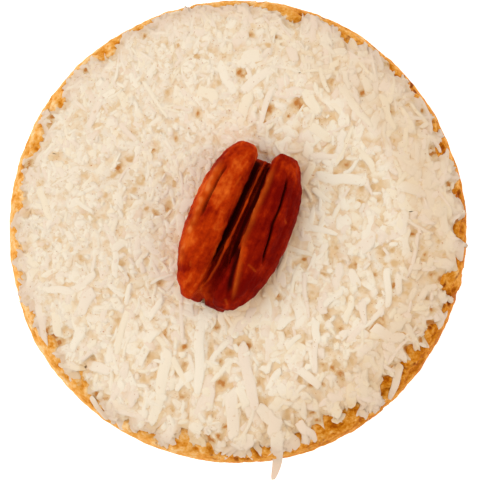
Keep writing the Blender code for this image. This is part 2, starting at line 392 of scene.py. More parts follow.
# the biscuit's skin: how high and how wide each kind of unevenness is, in mm
crust = {
    "waves": (0.14, 7.0),
    "crumbs": (0.16, 1.9),
    "fineCrumbs": (0.13, 0.95),
    "pores": (0.34, 1.4),    # this one goes inward
    "topFrom": 3.0,          # above this height coconut may lie on it
    "pressed": 0.35,         # how far the coconut presses it down, so that shreds stay whole
    "edgeShadeWidth": 1.1,      # of the line along the coconut's edge that is painted darker, as the coconut's shade
    "slope": (0.85, -0.15),  # which way it is painted darker, as shade away from the light on the left: to the right and a little nearer
    "slopeLength": 60.0,
    # how much darker (painted shade) or paler (painted light) a stretch of the rim is, its middle in
    # radians, how narrow it is
    "stretches": ((0.45, -0.38, 6), (-0.22, 1.85, 4), (-0.20, 3.50, 2)),
    "dark": rgb(168, 80, 0),
    "golden": rgb(213, 127, 20),
    "light": rgb(235, 165, 74),
    "palest": rgb(246, 206, 148),
    # for scorched spots, and for the painted shade along the coconut's edge
    "scorchAndShadeDark": rgb(142, 62, 0),
    "sheen": rgb(255, 190, 120),
}


def crustRelief(places):
    # baked crust: slow waves, crumbs, and open pores
    waves, crumbs, fineCrumbs = (
        crust[kind][0] * wobble(places, crust[kind][1], seed)
        for kind, seed in (("waves", 1), ("crumbs", 2), ("fineCrumbs", 3)))
    pores = smoothStep((wobble(places, crust["pores"][1], 4) - 0.22) / 0.25)
    return waves, crumbs + fineCrumbs - crust["pores"][0] * pores


def crustTones(places, angle, inward):
    # how much painted shade each place gets, more away from the light on the left, and how much it is
    # scorched, with painted shade along the coconut's edge
    onTop = places[:, 2] > crust["topFrom"]
    # painted shade along the coconut's edge
    shadeAlongCoconut = np.exp(-((inward + 0.5) / crust["edgeShadeWidth"]) ** 2) * onTop
    scorch = shadeAlongCoconut * smoothStep(0.1 + 1.5 * wobble(places, 1.3, 15))
    scorch = np.maximum(scorch, 0.6 * smoothStep((wobble(places, 1.6, 16) - 0.30) / 0.3))
    toRight, toBack = crust["slope"]
    crustShade = smoothStep(0.37 + (toRight * places[:, 0] + toBack * places[:, 1]) / crust["slopeLength"])
    # the scorch and the painted edge shade are both fainter on the left, where the light falls
    scorch = scorch * (0.45 + 0.55 * crustShade)
    for darker, middle, narrow in crust["stretches"]:
        crustShade += darker * np.maximum(np.cos(angle - middle), 0.0) ** narrow
    return crustShade, scorch


def makeBiscuit(material):
    mesh = meshFrom(turned(biscuitProfile(), biscuit["steps"]), "biscuit_crust")
    places = vertPlaces(mesh)
    normals = vertNormals(mesh)
    radius = np.hypot(places[:, 0], places[:, 1])
    angle = np.arctan2(places[:, 1], places[:, 0])
    stretch = 1.0 + unevenRadius(angle) / biscuit["radius"]
    places[:, 0] *= stretch
    places[:, 1] *= stretch
    waves, crumbs = crustRelief(places)
    inward = layerEdge(angle) - radius
    covered = smoothStep((inward - 0.1) / 0.5) * (places[:, 2] > crust["topFrom"])
    relief = (waves + crumbs) * (1.0 - covered) - crust["pressed"] * covered
    crustShade, scorch = crustTones(places, angle, inward)
    underside = places[:, 2] < 0.01
    relief = np.where(underside, np.minimum(relief, 0.0) * smoothStep(radius / 2.0), relief)
    places += normals * relief[:, None]
    places[:, 2] = np.maximum(places[:, 2], 0.0)
    movePlaces(mesh, places * mm)
    # down the side the crust is more even, and palest at half height
    side = smoothStep((9.0 - places[:, 2]) / 4.0)
    waist = side * np.exp(-((places[:, 2] - 4.5) / 2.5) ** 2)
    # the crust's painted shade darkens the grain toward the right, away from the light
    grain = 0.78 + (1.4 - 0.7 * side) * crumbs - 0.42 * crustShade + 0.1 * waist - 0.12 * side
    addShade(mesh, "grain", np.clip(grain, 0.0, 1.0))
    addShade(mesh, "side", side)
    addShade(mesh, "scorch", scorch)
    mesh.shade_smooth()
    return addPiece("biscuit_crust", mesh, material, "biscuit")


def crustPaint():
    paint = Paint("browned crust")
    place = paint.place()
    relief = paint.shade("grain")
    scorch = paint.shade("scorch")
    side = paint.shade("side")
    patches = paint.cloud(place, 3.0, 3.0, 0.6)
    crumbs = paint.cloud(place, 1.1, 3.0, 0.65)
    grain = paint.cloud(place, 0.5, 2.0, 0.6)
    mottling = (patches - 0.5) * 1.2 + (crumbs - 0.5) * 1.1 + (grain - 0.5) * 0.7
    # the grain carries the painted shade too, darker toward the right
    tone = relief * 0.5 + mottling * (1.0 - side * 0.45) + 0.24
    colour = paint.ramp(tone,
                        (0.05, crust["dark"]),
                        (0.32, crust["golden"]),
                        (0.60, crust["light"]),
                        (0.92, crust["palest"]))
    # scorched spots, and painted shade along the coconut's edge
    scorchAndShadeDark = paint.band(scorch + (grain - 0.5) * 0.8, 0.35, 0.8)
    colour = paint.mix(scorchAndShadeDark, colour, crust["scorchAndShadeDark"])
    return paint.finish(
        Base_Color=colour,
        Roughness=0.7,
        Specular_IOR_Level=0.1,
        Specular_Tint=crust["sheen"],
        Normal=paint.bump(crumbs + 0.4 * grain, 0.2, 0.8),
    )


makeBiscuit(crustPaint())

# the pecan half has the same lobes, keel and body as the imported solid
pecan = {
    "centre": (0.29, 0.83),
    "turn": -23.0,                # in degrees
    "halfLength": 14.15,
    "halfWidth": 8.5,
    "outlinePower": 2.7,          # 2 is an oval, and higher is squarer
    "height": 7.6,
    "lobeHeight": 7.0,
    "body": (7.7, 11.5, 2.1),     # half sizes of what joins the lobes: across, along and up
    "seatRise": 3.6,              # how high coconut may lie against its rounded sides
    "voxel": 0.17,
    "trim": (0.985, 0.96, 1.0),   # takes back what the relief adds
    "wrinkles": ((0.13, 1.5, 8), (0.08, 0.7, 9)),    # how high, how wide, and a seed
    "dimples": ((0.15, 1.4, 10), (0.08, 0.65, 11)),
    "deep": rgb(112, 8, 1),
    "dark": rgb(140, 22, 2),
    "brown": rgb(184, 50, 4),
    "light": rgb(228, 100, 28),
    # ridge and paintedHighlight: painted highlights along the ridges, partly paler skin
    "ridge": rgb(226, 98, 22),
    "paintedHighlight": rgb(230, 130, 66),
    # painted shade in the grooves and creases
    "hollow": rgb(54, 2, 1),
    "sheen": rgb(255, 130, 50),
}
# its lobes: how far they reach at the upper and lower end, where they run, how square they are
lobes = {
    "left": {"reach": (13.6, 14.5), "middle": -5.1, "tips": (-3.7, -3.4), "halfWidth": 3.4,
             "narrowing": (0.0, 0.2), "power": (3.0, 2.5), "side": 1.0, "square": 1.2},
    "right": {"reach": (14.1, 13.9), "middle": 4.9, "tips": (2.9, 2.4), "halfWidth": 3.6,
              "narrowing": (0.0, 0.0), "power": (3.0, 3.0), "side": -1.0, "square": 3.0},
}
pecanTurn = math.radians(pecan["turn"])
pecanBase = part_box("pecan_half")[0].z / mm


def pecanFrame(x, y):
    # a place on the cookie as across and along the pecan
    x = x - pecan["centre"][0]
    y = y - pecan["centre"][1]
    across = x * math.cos(pecanTurn) + y * math.sin(pecanTurn)
    along = y * math.cos(pecanTurn) - x * math.sin(pecanTurn)
    return across, along


def cookieFrame(across, along):
    # and the other way round
    x = across * math.cos(pecanTurn) - along * math.sin(pecanTurn) + pecan["centre"][0]
    y = across * math.sin(pecanTurn) + along * math.cos(pecanTurn) + pecan["centre"][1]
    return x, y


def pecanShare(x, y):
    # 0 at the pecan's middle, 1 on its outline
    across, along = pecanFrame(x, y)
    power = pecan["outlinePower"]
    spread = np.abs(across / pecan["halfWidth"]) ** power + np.abs(along / pecan["halfLength"]) ** power
    return spread ** (1.0 / power)


def seatHeight(x, y):
    # the highest that coconut may lie under the pecan's rounded sides
    share = np.clip(pecanShare(x, y) / 1.06, 0.0, 1.0)
    rise = 1.0 - (1.0 - share ** 3) ** (1.0 / 3.0)
    return np.where(share < 1.0, pecanBase - 0.1 + pecan["seatRise"] * rise, 1000.0)


# where the coconut takes a warmer colour: painted warm shade beside the pecan, and painted shade toward the
# right rim
tints = {
    "shadeTintReach": 0.17,        # how far the painted warm shade spreads from the pecan, as a share of its own reach
    "rightShadeFrom": 25.0,       # how far out from the middle the painted shade on the right begins
    "rightShadeFull": 30.0,
}


def pecanShadeTint(x, y):
    # painted warm shade in the pecan's shadow, on the coconut to its right
    across, along = pecanFrame(x, y)
    away = np.maximum(pecanShare(x, y) - 1.0, 0.0) / tints["shadeTintReach"]
    return np.exp(-away * away) * smoothStep((across - 1.0) / 4.0)


def browned(x, y):
    # painted shade: how much darker and warmer the coconut is, out toward the rim on the right, away from
    # the light
    radius = np.hypot(x, y)
    onRight = smoothStep(0.35 + 0.65 * (x - 0.18 * y) / np.maximum(radius, 1.0))
    fully = tints["rightShadeFull"] - tints["rightShadeFrom"]
    farOut = smoothStep((radius - tints["rightShadeFrom"]) / fully)
    return onRight * farOut * (1.0 - 0.2 * smoothStep((radius - 32.5) / 3.0))


def lumps(x, y):
    # slow rises and dips of the heap
    long = np.sin(x / layer["lumpSize"] * 2.1 + 1.0) * np.cos(y / layer["lumpSize"] * 1.7 + 0.4)
    short = np.sin((x + y) / layer["lumpSize"] * 3.3 + 2.0) * np.cos((x - y) / layer["lumpSize"] * 2.9)
    return layer["lump"] * (0.6 * long + 0.4 * short)


def coreHeight(x, y):
    # top of the solid core, under the loose shreds
    radius = np.hypot(x, y)
    toEdge = layerEdge(np.arctan2(y, x)) - radius
    body = np.sqrt(smoothStep((toEdge - 0.6) / layer["slopeWidth"]))
    thickness = (layer["thickness"] - layer["shredDepth"] + lumps(x, y)) * body
    return np.minimum(biscuitTop(radius) + thickness, seatHeight(x, y) - 0.15)


# the core is the mass of the coconut, draped just under the tops of the shreds
core = {
    "cells": 268,            # cells across its top
    "inset": 0.45,           # how far its edge stays inside the coconut's outline
    "below": (0.04, 0.16),   # how far it lies under the tops of the shreds, least and most
    "blur": 0.16,            # how much it rounds off what lies on it
    "grit": (0.06, 0.8),     # how high and how wide its own unevenness is
    "sink": 0.6,             # how far its side goes down into the biscuit
    "edgeFade": 0.8,         # how near its edge it comes down to the biscuit
    "tone": (0.75, 1.5),     # how pale it is, and how much paler a millimetre higher, so its hollows get painted shade
    "mapReach": (39.5, 38.5),    # the radius that would fill its map: at its top and its foot
}

# small hollows between the shreds where the biscuit shows: place, size and how brown
pits = [
    (1.0, 25.5, 0.55, 0.9), (4.9, 19.8, 0.6, 1.0), (2.2, 31.8, 0.25, 0.9), (-3.8, 29.3, 0.35, 0.5),
    (-6.5, 28.5, 0.3, 0.5), (-3.3, 24.0, 0.45, 0.4), (-6.3, 19.0, 0.3, 0.9), (4.7, 30.0, 0.4, 0.5),
    (10.0, 20.8, 0.6, 0.9), (-11.1, 22.2, 0.5, 0.4), (20.3, 22.5, 0.35, 0.9), (13.8, 17.9, 0.35, 0.6),
    (12.9, 25.0, 0.35, 0.4), (15.1, 23.2, 0.35, 0.4), (17.6, 10.7, 0.65, 0.6), (20.3, 10.7, 0.35, 0.5),
    (20.1, 6.7, 0.35, 0.5), (22.9, 5.2, 0.3, 0.5), (12.8, 10.2, 0.3, 0.6), (4.3, 18.0, 0.35, 0.5),
    (-17.3, 11.9, 0.35, 0.7), (-19.0, 10.0, 0.42, 0.9), (-20.3, 9.0, 0.35, 0.6), (-15.5, 8.1, 0.5, 0.5),
    (-24.2, 9.1, 0.3, 0.4), (-21.3, 5.6, 0.35, 0.4), (-16.5, 6.5, 0.35, 0.4), (-13.3, 3.1, 0.25, 1.0),
    (-14.7, 4.0, 0.3, 0.6), (-11.1, 4.0, 0.35, 0.8), (-10.3, 7.6, 0.3, 0.7), (-22.3, 2.6, 0.35, 0.3),
    (-25.2, -3.9, 0.6, 0.4), (-18.5, -4.9, 0.35, 0.5), (-17.4, -7.2, 0.25, 0.6), (-14.5, -4.7, 0.35, 0.5),
    (-12.5, -8.4, 0.3, 0.8), (-19.3, -0.4, 0.3, 0.3), (-13.5, 13.0, 0.3, 0.9), (-9.6, 14.8, 0.3, 0.7),
    (-18.2, -11.1, 0.3, 0.5), (-19.3, -14.1, 0.5, 0.5), (-15.2, -24.0, 0.4, 0.4), (-13.8, -20.0, 0.35, 0.8),
    (-11.8, -13.1, 0.3, 0.5), (-23.5, -20.6, 0.25, 0.7), (-10.5, -28.8, 0.5, 0.5), (-8.6, -26.3, 0.6, 0.5),
    (-8.4, -21.4, 0.35, 0.6), (-3.4, -15.5, 0.35, 0.8), (1.8, -18.4, 0.3, 0.9), (-1.4, -19.6, 0.35, 0.7),
    (-2.5, -24.7, 0.5, 0.9), (8.3, -16.2, 0.45, 0.5), (15.8, -21.8, 0.45, 1.0), (15.0, -19.2, 0.3, 0.8),
    (3.8, -23.9, 0.45, 0.5), (10.0, -23.7, 0.3, 0.5), (11.7, -25.0, 0.25, 0.9), (13.8, -24.8, 0.25, 0.8),
    (4.5, -27.4, 0.5, 0.5), (7.8, -29.9, 0.5, 0.5), (1.3, -29.8, 0.4, 0.5), (10.3, -30.8, 0.35, 0.9),
    (23.0, -14.6, 0.55, 0.8), (25.1, -5.1, 0.35, 0.6), (31.6, -7.1, 0.55, 0.6), (23.3, -3.3, 0.4, 0.6),
    (28.6, -0.3, 0.35, 0.9), (12.2, -9.8, 0.35, 0.4), (31.1, -14.7, 0.35, 1.2), (28.0, -19.3, 0.35, 1.2),
    (29.8, -17.5, 0.25, 1.0), (27.6, -8.6, 0.3, 0.6), (30.5, -3.4, 0.3, 0.7), (20.8, -9.6, 0.25, 0.8),
    (22.5, -6.8, 0.25, 0.8), (16.5, -5.3, 0.25, 0.7), (16.0, -2.6, 0.25, 0.7), (16.3, -23.1, 0.4, 0.7),
    (10.8, -4.4, 0.35, 0.6), (25.1, -3.0, 0.3, 0.6), (12.3, -29.4, 0.25, 0.9), (-2.8, -20.6, 0.3, 0.6),
]
# and those just inside the rim: angle in degrees, radius, size and how brown
rimPits = [
    (2.5, 35.6, 0.34, 1.4), (12.5, 34.9, 0.3, 1.4), (21.5, 34.3, 0.34, 1.3), (24.0, 34.2, 0.21, 1.1),
    (31.0, 34.4, 0.26, 1.1), (33.0, 35.8, 0.26, 1.4), (36.7, 34.4, 0.21, 1.0), (47.8, 36.3, 0.26, 1.3),
    (115.5, 35.2, 0.26, 0.6), (133.3, 35.8, 0.26, 1.2), (148.8, 35.4, 0.3, 1.3), (150.6, 35.1, 0.21, 1.1),
    (161.3, 35.1, 0.3, 1.1), (163.0, 35.9, 0.26, 1.4), (207.0, 34.6, 0.34, 1.3), (209.5, 34.2, 0.3, 1.3),
    (212.5, 33.7, 0.34, 1.3), (229.0, 34.9, 0.3, 1.1), (231.5, 34.2, 0.26, 1.0), (262.5, 34.1, 0.38, 1.4),
    (264.8, 33.3, 0.34, 1.1), (286.7, 34.6, 0.42, 1.4), (293.0, 33.4, 0.3, 1.2), (315.4, 34.2, 0.47, 1.4),
    (319.0, 33.2, 0.26, 1.1), (325.8, 33.6, 0.34, 1.4), (334.6, 34.7, 0.38, 1.4), (338.0, 33.9, 0.26, 1.2),
    (347.0, 34.0, 0.26, 1.2), (341.0, 32.6, 0.21, 1.0), (328.5, 31.5, 0.21, 1.0), (353.0, 33.8, 0.21, 1.0),
]
pits += [(radius * math.cos(math.radians(angle)), radius * math.sin(math.radians(angle)), size, brown)
         for angle, radius, size, brown in rimPits]
pitCount = 160
pitReach = 33.0


def fineness(x, y):
    # 1 at the upper left, where the shreds are broken small and pressed in, 0 at the lower right
    return smoothStep(0.5 + (0.6 * y - 0.8 * x) / 45.0)


# and a few more at random, most of them toward the lower right
while len(pits) < pitCount:
    x, y = random.uniform(-pitReach, pitReach, 2)
    free = math.hypot(x, y) < pitReach and pecanShare(x, y) > 1.15
    if free and random.uniform() > 0.25 + 0.7 * fineness(x, y):
        pits.append((x, y, random.uniform(0.18, 0.34), random.uniform(0.4, 0.9)))
# each hollow is stretched some way by a second one beside it
pitLean = random.uniform(0.0, math.tau, len(pits))
pits += [(x + size * math.cos(lean), y + size * math.sin(lean), 0.7 * size, brown)
         for (x, y, size, brown), lean in zip(pits, pitLean)]
pitPlaces = np.array(pits)
print("marked", len(pits), "hollows between the shreds")


# colours of the shreds, and of the pressed coconut between them
flesh = {
    "high": rgb(250, 235, 211),
    # the low colours also stand for painted shade in the crevices
    "low": rgb(232, 196, 148),
    "coreHigh": rgb(244, 227, 203),
    "coreLow": rgb(236, 198, 148),
    "rosy": rgb(242, 216, 192),
    "creamy": rgb(246, 222, 182),
    # painted warm shade in the pecan's shadow
    "pecanShadeTint": rgb(252, 214, 164),
    # painted shade toward the right rim
    "browned": rgb(228, 196, 158),
    # painted shade, rosier, on the rim's slope
    "thin": rgb(240, 212, 186),
    "toasted": rgb(224, 180, 124),
    "speck": rgb(194, 138, 86),
    "corePatch": rgb(226, 192, 142),
    "coreSpeck": rgb(196, 126, 66),
    "tan": rgb(224, 184, 132),
    "biscuit": rgb(196, 124, 52),    # what shows in the hollows
}


def coconutColour(paint, place, high, low):
    # between two colours by tone, the low one also painted shade in the crevices; then painted warm shade
    # beside the pecan, painted shade toward the right rim, and toward the rim a rosier painted shade, where
    # the layer thins and slopes down
    drift = paint.cloud(place, 2.5, 2.0)
    blotch = paint.cloud(place, 1.4, 3.0, 0.6)
    # the tone is lower where a place lies below the coconut around it: painted shade in the crevices,
    # beside each shred's own tone
    tone = paint.shade("tone") + (drift - 0.5) * 0.5 + (blotch - 0.5) * 0.9
    colour = paint.mix(paint.band(tone, 0.02, 0.78), low, high)
    # painted warm shade in the pecan's shadow, to its right
    colour = paint.mix(paint.shade("warm") * 0.6, colour, flesh["pecanShadeTint"])
    # painted shade, darker and warmer toward the rim on the right
    colour = paint.mix(paint.shade("toast") * 0.66, colour, flesh["browned"])
    flat = paint.add("VectorMath", {"operation": "MULTIPLY"}, {0: place, 1: (1.0, 1.0, 0.0)})
    radius = paint.add("VectorMath", {"operation": "LENGTH"}, {0: flat}, 1)
    # a rosier painted shade toward the rim, where the heap slopes down
    thin = paint.band(radius + (drift - 0.5) * 6.0 * mm, 33.0 * mm, 37.0 * mm)
    return paint.mix(thin * 0.8, colour, flesh["thin"])


def coconutPaint():
    paint = Paint("coconut flesh")
    place = paint.place()
    tint = paint.shade("tint")
    colour = coconutColour(paint, place, flesh["high"], flesh["low"])
    colour = paint.mix(paint.band(tint, 0.55, 1.0) * 0.6, colour, flesh["rosy"])
    colour = paint.mix(paint.band(1.0 - tint, 0.6, 1.0) * 0.35, colour, flesh["creamy"])
    toasted = paint.band(paint.cloud(place, 1.1, 3.0, 0.6), 0.62, 0.74)
    colour = paint.mix(toasted * 0.5, colour, flesh["toasted"])
    specks = paint.band(paint.cloud(place, 0.4, 1.0), 0.73, 0.79)
    colour = paint.mix(specks * 0.55, colour, flesh["speck"])
    fibre = paint.cloud(place, 0.28, 3.0, 0.6)
    return paint.finish(
        Base_Color=colour,
        Roughness=0.6,
        Specular_IOR_Level=0.3,
        Normal=paint.bump(fibre, 0.03, 0.4),
    )


def corePaint():
    paint = Paint("pressed coconut")
    place = paint.place()
    brown = paint.shade("brown")
    drift = paint.cloud(place, 0.8, 2.0)
    colour = coconutColour(paint, place, flesh["coreHigh"], flesh["coreLow"])
    patches = paint.band(paint.cloud(place, 0.9, 3.0, 0.6), 0.50, 0.62)
    colour = paint.mix(patches * 0.55, colour, flesh["corePatch"])
    specks = paint.band(paint.cloud(place, 0.42, 2.0), 0.66, 0.72)
    colour = paint.mix(specks * 0.7, colour, flesh["coreSpeck"])
    colour = paint.mix(paint.band(brown, 0.12, 0.5), colour, flesh["tan"])
    colour = paint.mix(paint.band(brown + (drift - 0.5) * 1.2, 0.45, 1.0), colour, flesh["biscuit"])
    return paint.finish(
        Base_Color=colour,
        Roughness=0.7,
        Specular_IOR_Level=0.3,
        Normal=paint.bump(paint.cloud(place, 0.4, 3.0), 0.05, 0.5),
    )


# the heap of shreds is a height map of what lies there already
heap = {
    "cell": 0.12,            # size of the map's cells in mm
    "reach": 41.0,           # half the map's width
    "press": 0.25,           # how much a shred bridges the bumps under it
    "bed": 0.6,              # how far the next shred sinks into one, as a share of its thickness
    "pressed": 1500,         # how many shreds are its bottom
    "lie": 85.0,             # the way most shreds lie, in degrees
    "rimShare": 0.2,         # how many of them are laid along the rim
    "rimBand": (0.3, 2.5),   # and how far inside the coconut's edge
    "pitClear": (0.9, 1.25), # how far narrow and wide ones stay off a hollow, in its sizes
    "softness": (0.50, 0.66),    # how soft the light on it is, at the lower right and upper left
    "rimSoftness": 0.84,     # and at the rim
    "around": 0.9,           # how far around each place is looked at for its tone
    "tone": (0.4, 0.5, 1.8), # how pale, how much the shreds differ, how much paler a mm higher, so the crevices get painted shade
}
heapSide = int(2 * heap["reach"] / heap["cell"])


def heapPlaces():
    # the place of each cell of the map
    line = (np.arange(heapSide) + 0.5) * heap["cell"] - heap["reach"]
    return np.meshgrid(line, line, indexing="ij")


def heapStart():
    # nothing but the core's own height
    x, y = heapPlaces()
    radius = np.hypot(x, y)
    onCore = radius < layerEdge(np.arctan2(y, x)) - core["inset"]
    return np.where(onCore, coreHeight(x, y) - biscuitTop(radius), 0.0)


heights = heapStart()        # over the biscuit's top: what the next shred lies on
tops = heights.copy()        # and what shows


def heapCell(x, y):
    # the cell of the map that each place lies in
    column = np.clip(((x + heap["reach"]) / heap["cell"]).astype(int), 0, heapSide - 1)
    row = np.clip(((y + heap["reach"]) / heap["cell"]).astype(int), 0, heapSide - 1)
    return column, row


def heapHeight(x, y):
    column, row = heapCell(x, y)
    return heights[column, row] + biscuitTop(np.hypot(x, y))


def raiseHeap(x, y, top, bed):
    # marks something that reaches up to top, and that the next shred sinks into by bed
    cells = heapCell(x, y)
    over = top - biscuitTop(np.hypot(x, y))
    np.maximum.at(heights, cells, over - bed)
    np.maximum.at(tops, cells, over)


def soften(line, width):
    # a running mean that keeps the line's length
    padded = np.pad(line, width, mode="edge")
    weights = np.hanning(2 * width + 3)[1:-1]
    return np.convolve(padded, weights / weights.sum(), mode="valid")


# the form of a shred, where it is the same for all
ribbon = {
    "skirt": 0.22,           # how far down into the heap a bedded one goes
    "flare": (1.03, 1.14),   # and how much longer and wider it is down there
    "waist": 0.4,            # how near its middle height the rounding's lower edge comes
    "thinEnds": 0.4,         # how much thinner it is at both ends
    "wave": 0.03,            # how high its surface waves
    "tilt": (0.6, 0.8),      # how far it tilts with the slope it lies on, and at most
    "sideReach": 0.36,       # where that slope is taken, as a share of its width
    "stamp": 0.11,           # how finely it is marked on the heap's map
    "stampWidth": 0.84,      # and how much of its width is
}


def ribbonTemplate(segments, bedded, rounding=0.2):
    # a unit ribbon along X, its upper long edges rounded off; a bedded one widens downward,
    # so that it grows out of the mass without a gap along its sides
    shape = bmesh.new()
    bmesh.ops.create_cube(shape, size=1.0)
    lengthwise = [edge for edge in shape.edges if abs(edge.verts[0].co.x - edge.verts[1].co.x) > 0.5]
    rounded = [edge for edge in lengthwise if edge.verts[0].co.z > 0.0 or not bedded]
    bmesh.ops.bevel(shape, geom=rounded, offset=rounding, affect="EDGES", segments=1, profile=0.5,
                     material=-1)
    lengthwise = [edge for edge in shape.edges if abs(edge.verts[0].co.x - edge.verts[1].co.x) > 0.5]
    bmesh.ops.subdivide_edges(shape, edges=lengthwise, cuts=segments - 1)
    bmesh.ops.recalc_face_normals(shape, faces=shape.faces)
    shape.verts.index_update()
    faces = [[vert.index for vert in face.verts] for face in shape.faces]
    # its map has the top and underside one over the other, and both caps in a strip beside them
    maps = []
    for face in shape.faces:
        cap = abs(face.normal.x) > 0.9
        for vert in face.verts:
            if cap:
                spot = (0.94 + 0.05 * (vert.co.y + 0.5), 0.5 + 0.4 * vert.co.z)
            else:
                side = 0.0 if face.calc_center_median().z > 0.0 else 0.5
                edgeOn = 0.06 * (vert.co.z + 0.5)
                spot = (0.02 + 0.88 * (vert.co.x + 0.5), side + 0.04 + 0.34 * (vert.co.y + 0.5) + edgeOn)
            maps.append(spot)
    verts = np.array([vert.co[:] for vert in shape.verts])
    shape.free()
    # closer cuts toward both ends
    verts[:, 0] = 0.5 * np.sin(math.pi * verts[:, 0])
    outermost = np.abs(verts[:, 2]) > 0.4
    verts[:, 2] = np.where(outermost, verts[:, 2], verts[:, 2] * ribbon["waist"])
    if bedded:
        longer, wider = ribbon["flare"]
        below = verts[:, 2] < -0.4
        verts[:, 1] = np.where(below, verts[:, 1] * wider, verts[:, 1])
        verts[:, 0] = np.where(below, verts[:, 0] * longer, verts[:, 0])
    skirt = ribbon["skirt"] if bedded else 0.0
    return {"verts": verts, "faces": faces, "maps": np.array(maps), "skirt": skirt}


shredSamples = 15            # points along a shred's middle line


def shredPath(spec):
    # middle line of a shred in plan, and its heading, at even steps along it
    share = np.linspace(-0.5, 0.5, shredSamples)
    heading = spec["heading"] + spec["bend"] * share + spec["hook"] * (share * share - 0.08)
    step = spec["length"] / (shredSamples - 1)
    x = np.cumsum(np.cos(heading)) * step
    y = np.cumsum(np.sin(heading)) * step
    x += spec["x"] - 0.5 * (x[0] + x[-1])
    y += spec["y"] - 0.5 * (y[0] + y[-1])
    return share, heading, x, y


def overPit(x, y, width):
    # whether a shred along these places would cover a hollow
    awayX = x[:, None] - pitPlaces[None, :, 0]
    awayY = y[:, None] - pitPlaces[None, :, 1]
    narrow, wide = heap["pitClear"]
    kept = (narrow if width < 1.0 else wide) * pitPlaces[None, :, 2]
    clear = np.hypot(awayX, awayY) - kept - 0.42 * width
    return clear.min() < 0.0


def between(line, at):
    # a value between the points of a shred's line
    first = np.clip(np.floor(at).astype(int), 0, shredSamples - 2)
    part = at - first
    return line[first] * (1.0 - part) + line[first + 1] * part


def restingLine(spec):
    # a shred's middle line where it comes to rest on the heap: places, sideways heading, tilt
    share, heading, x, y = shredPath(spec)
    thickness = spec["thickness"]
    sideX = -np.sin(heading)
    sideY = np.cos(heading)
    reach = ribbon["sideReach"] * spec["width"]
    left = heapHeight(x + sideX * reach, y + sideY * reach)
    right = heapHeight(x - sideX * reach, y - sideY * reach)
    under = np.maximum(heapHeight(x, y), 0.5 * (left + right))
    smooth = soften(under, 2)
    z = smooth + heap["press"] * np.max(under - smooth) + 0.5 * thickness
    z += spec["curl"] * (4.0 * share * share - 0.3) - spec["dip"] * np.abs(2.0 * share) ** 3
    z -= spec["sunk"] + spec["plunge"] * np.clip(0.5 + spec["diving"] * share, 0.0, 1.0) ** 2
    z = np.minimum(z, seatHeight(x, y) - 0.5 * thickness)
    follows, most = ribbon["tilt"]
    roll = soften(np.clip(follows * (left - right) / (2.0 * reach), -most, most), 3)
    roll = roll + spec["roll"] + spec["twist"] * share
    return x, y, z, sideX, sideY, roll


def ribbonVerts(template, spec):
    # a shred's verts, still straight: place along its line, across it and over it
    along, y0, z0 = template["verts"].T
    width = spec["width"] * (1.0 - spec["taper"] * np.clip(0.5 + along, 0.0, 1.0) ** 2)
    width = width * (1.0 - spec["nose"] * np.abs(2.0 * along) ** 12)
    width = width * (1.0 + spec["ragged"] * np.sin(along * spec["waves"] + spec["phase"] + 3.0 * y0))
    thinner = ribbon["thinEnds"] * np.minimum(np.abs(2.0 * along), 1.0) ** 6
    up = z0 * spec["thickness"] * (1.0 - thinner)
    up = up + ribbon["wave"] * np.sin(along * 1.7 * spec["waves"] + 2.0 * spec["phase"] - 2.0 * y0)
    up = np.where(z0 < -0.4, up - template["skirt"], up)
    slanting = np.abs(2.0 * along) ** 4 * y0 * (spec["cut"] + np.sign(along) * spec["slant"])
    along = along + slanting * spec["width"] / spec["length"]
    return (along + 0.5) * (shredSamples - 1), y0 * width, up


def layShred(template, spec):
    # lays one shred on the heap, marks it there and returns its verts
    x, y, z, sideX, sideY, roll = restingLine(spec)
    at, across, up = ribbonVerts(template, spec)
    tilt = between(roll, at)
    flat = across * np.cos(tilt) - up * np.sin(tilt)
    verts = np.stack([
        between(x, at) + between(sideX, at) * flat,
        between(y, at) + between(sideY, at) * flat,
        between(z, at) + across * np.sin(tilt) + up * np.cos(tilt),
    ], 1)
    fine = np.linspace(0.0, shredSamples - 1.001, max(int(spec["length"] / ribbon["stamp"]), 4))
    tilt = between(roll, fine)
    top = between(z, fine) + 0.5 * spec["thickness"]
    narrowing = 1.0 - spec["taper"] * (fine / shredSamples) ** 2
    half = 0.5 * ribbon["stampWidth"]
    rows = max(int(spec["width"] / ribbon["stamp"]), 3)
    for row in np.linspace(-half, half, rows) * spec["width"]:
        raiseHeap(
            between(x, fine) + between(sideX, fine) * row * narrowing,
            between(y, fine) + between(sideY, fine) * row * narrowing,
            top + row * narrowing * np.sin(tilt),
            heap["bed"] * spec["thickness"],
        )
    return verts


def blurred(field, size):
    # a blur along both axes of the heap's map, by a bell of size millimetres
    reach = int(3 * size / heap["cell"]) + 1
    spread = size / heap["cell"]
    shifts = range(-reach, reach + 1)
    weights = [math.exp(-0.5 * (shift / spread) ** 2) for shift in shifts]
    for axis in (0, 1):
        field = sum(weight * np.roll(field, shift, axis) for shift, weight in zip(shifts, weights))
        field = field / sum(weights)
    return field


def groundNormal(places):
    # nearly straight up, leaning a little outward where the biscuit's top falls away
    radius = np.hypot(places[:, 0], places[:, 1])
    fall = (biscuitTop(radius - 0.3) - biscuitTop(radius + 0.3)) / 0.6
    outward = places[:, :2] / np.maximum(radius, 0.01)[:, None]
    leaning = outward * np.minimum(0.2 * fall, 0.3)[:, None]
    ground = np.concatenate([leaning, np.ones((len(places), 1))], 1)
    return ground / np.linalg.norm(ground, axis=1)[:, None]


def softenLight(mesh, places):
    # light passes through coconut, so its sides are lit almost like the ground they stand on
    least, most = heap["softness"]
    soft = least + (most - least) * fineness(places[:, 0], places[:, 1])
    nearRim = smoothStep((np.hypot(places[:, 0], places[:, 1]) - 33.0) / 3.0)
    soft = (soft + (heap["rimSoftness"] - soft) * nearRim)[:, None]
    lit = vertNormals(mesh) * (1.0 - soft) + groundNormal(places) * soft
    lit /= np.linalg.norm(lit, axis=1)[:, None]
    mesh.normals_split_custom_set_from_vertices(lit)


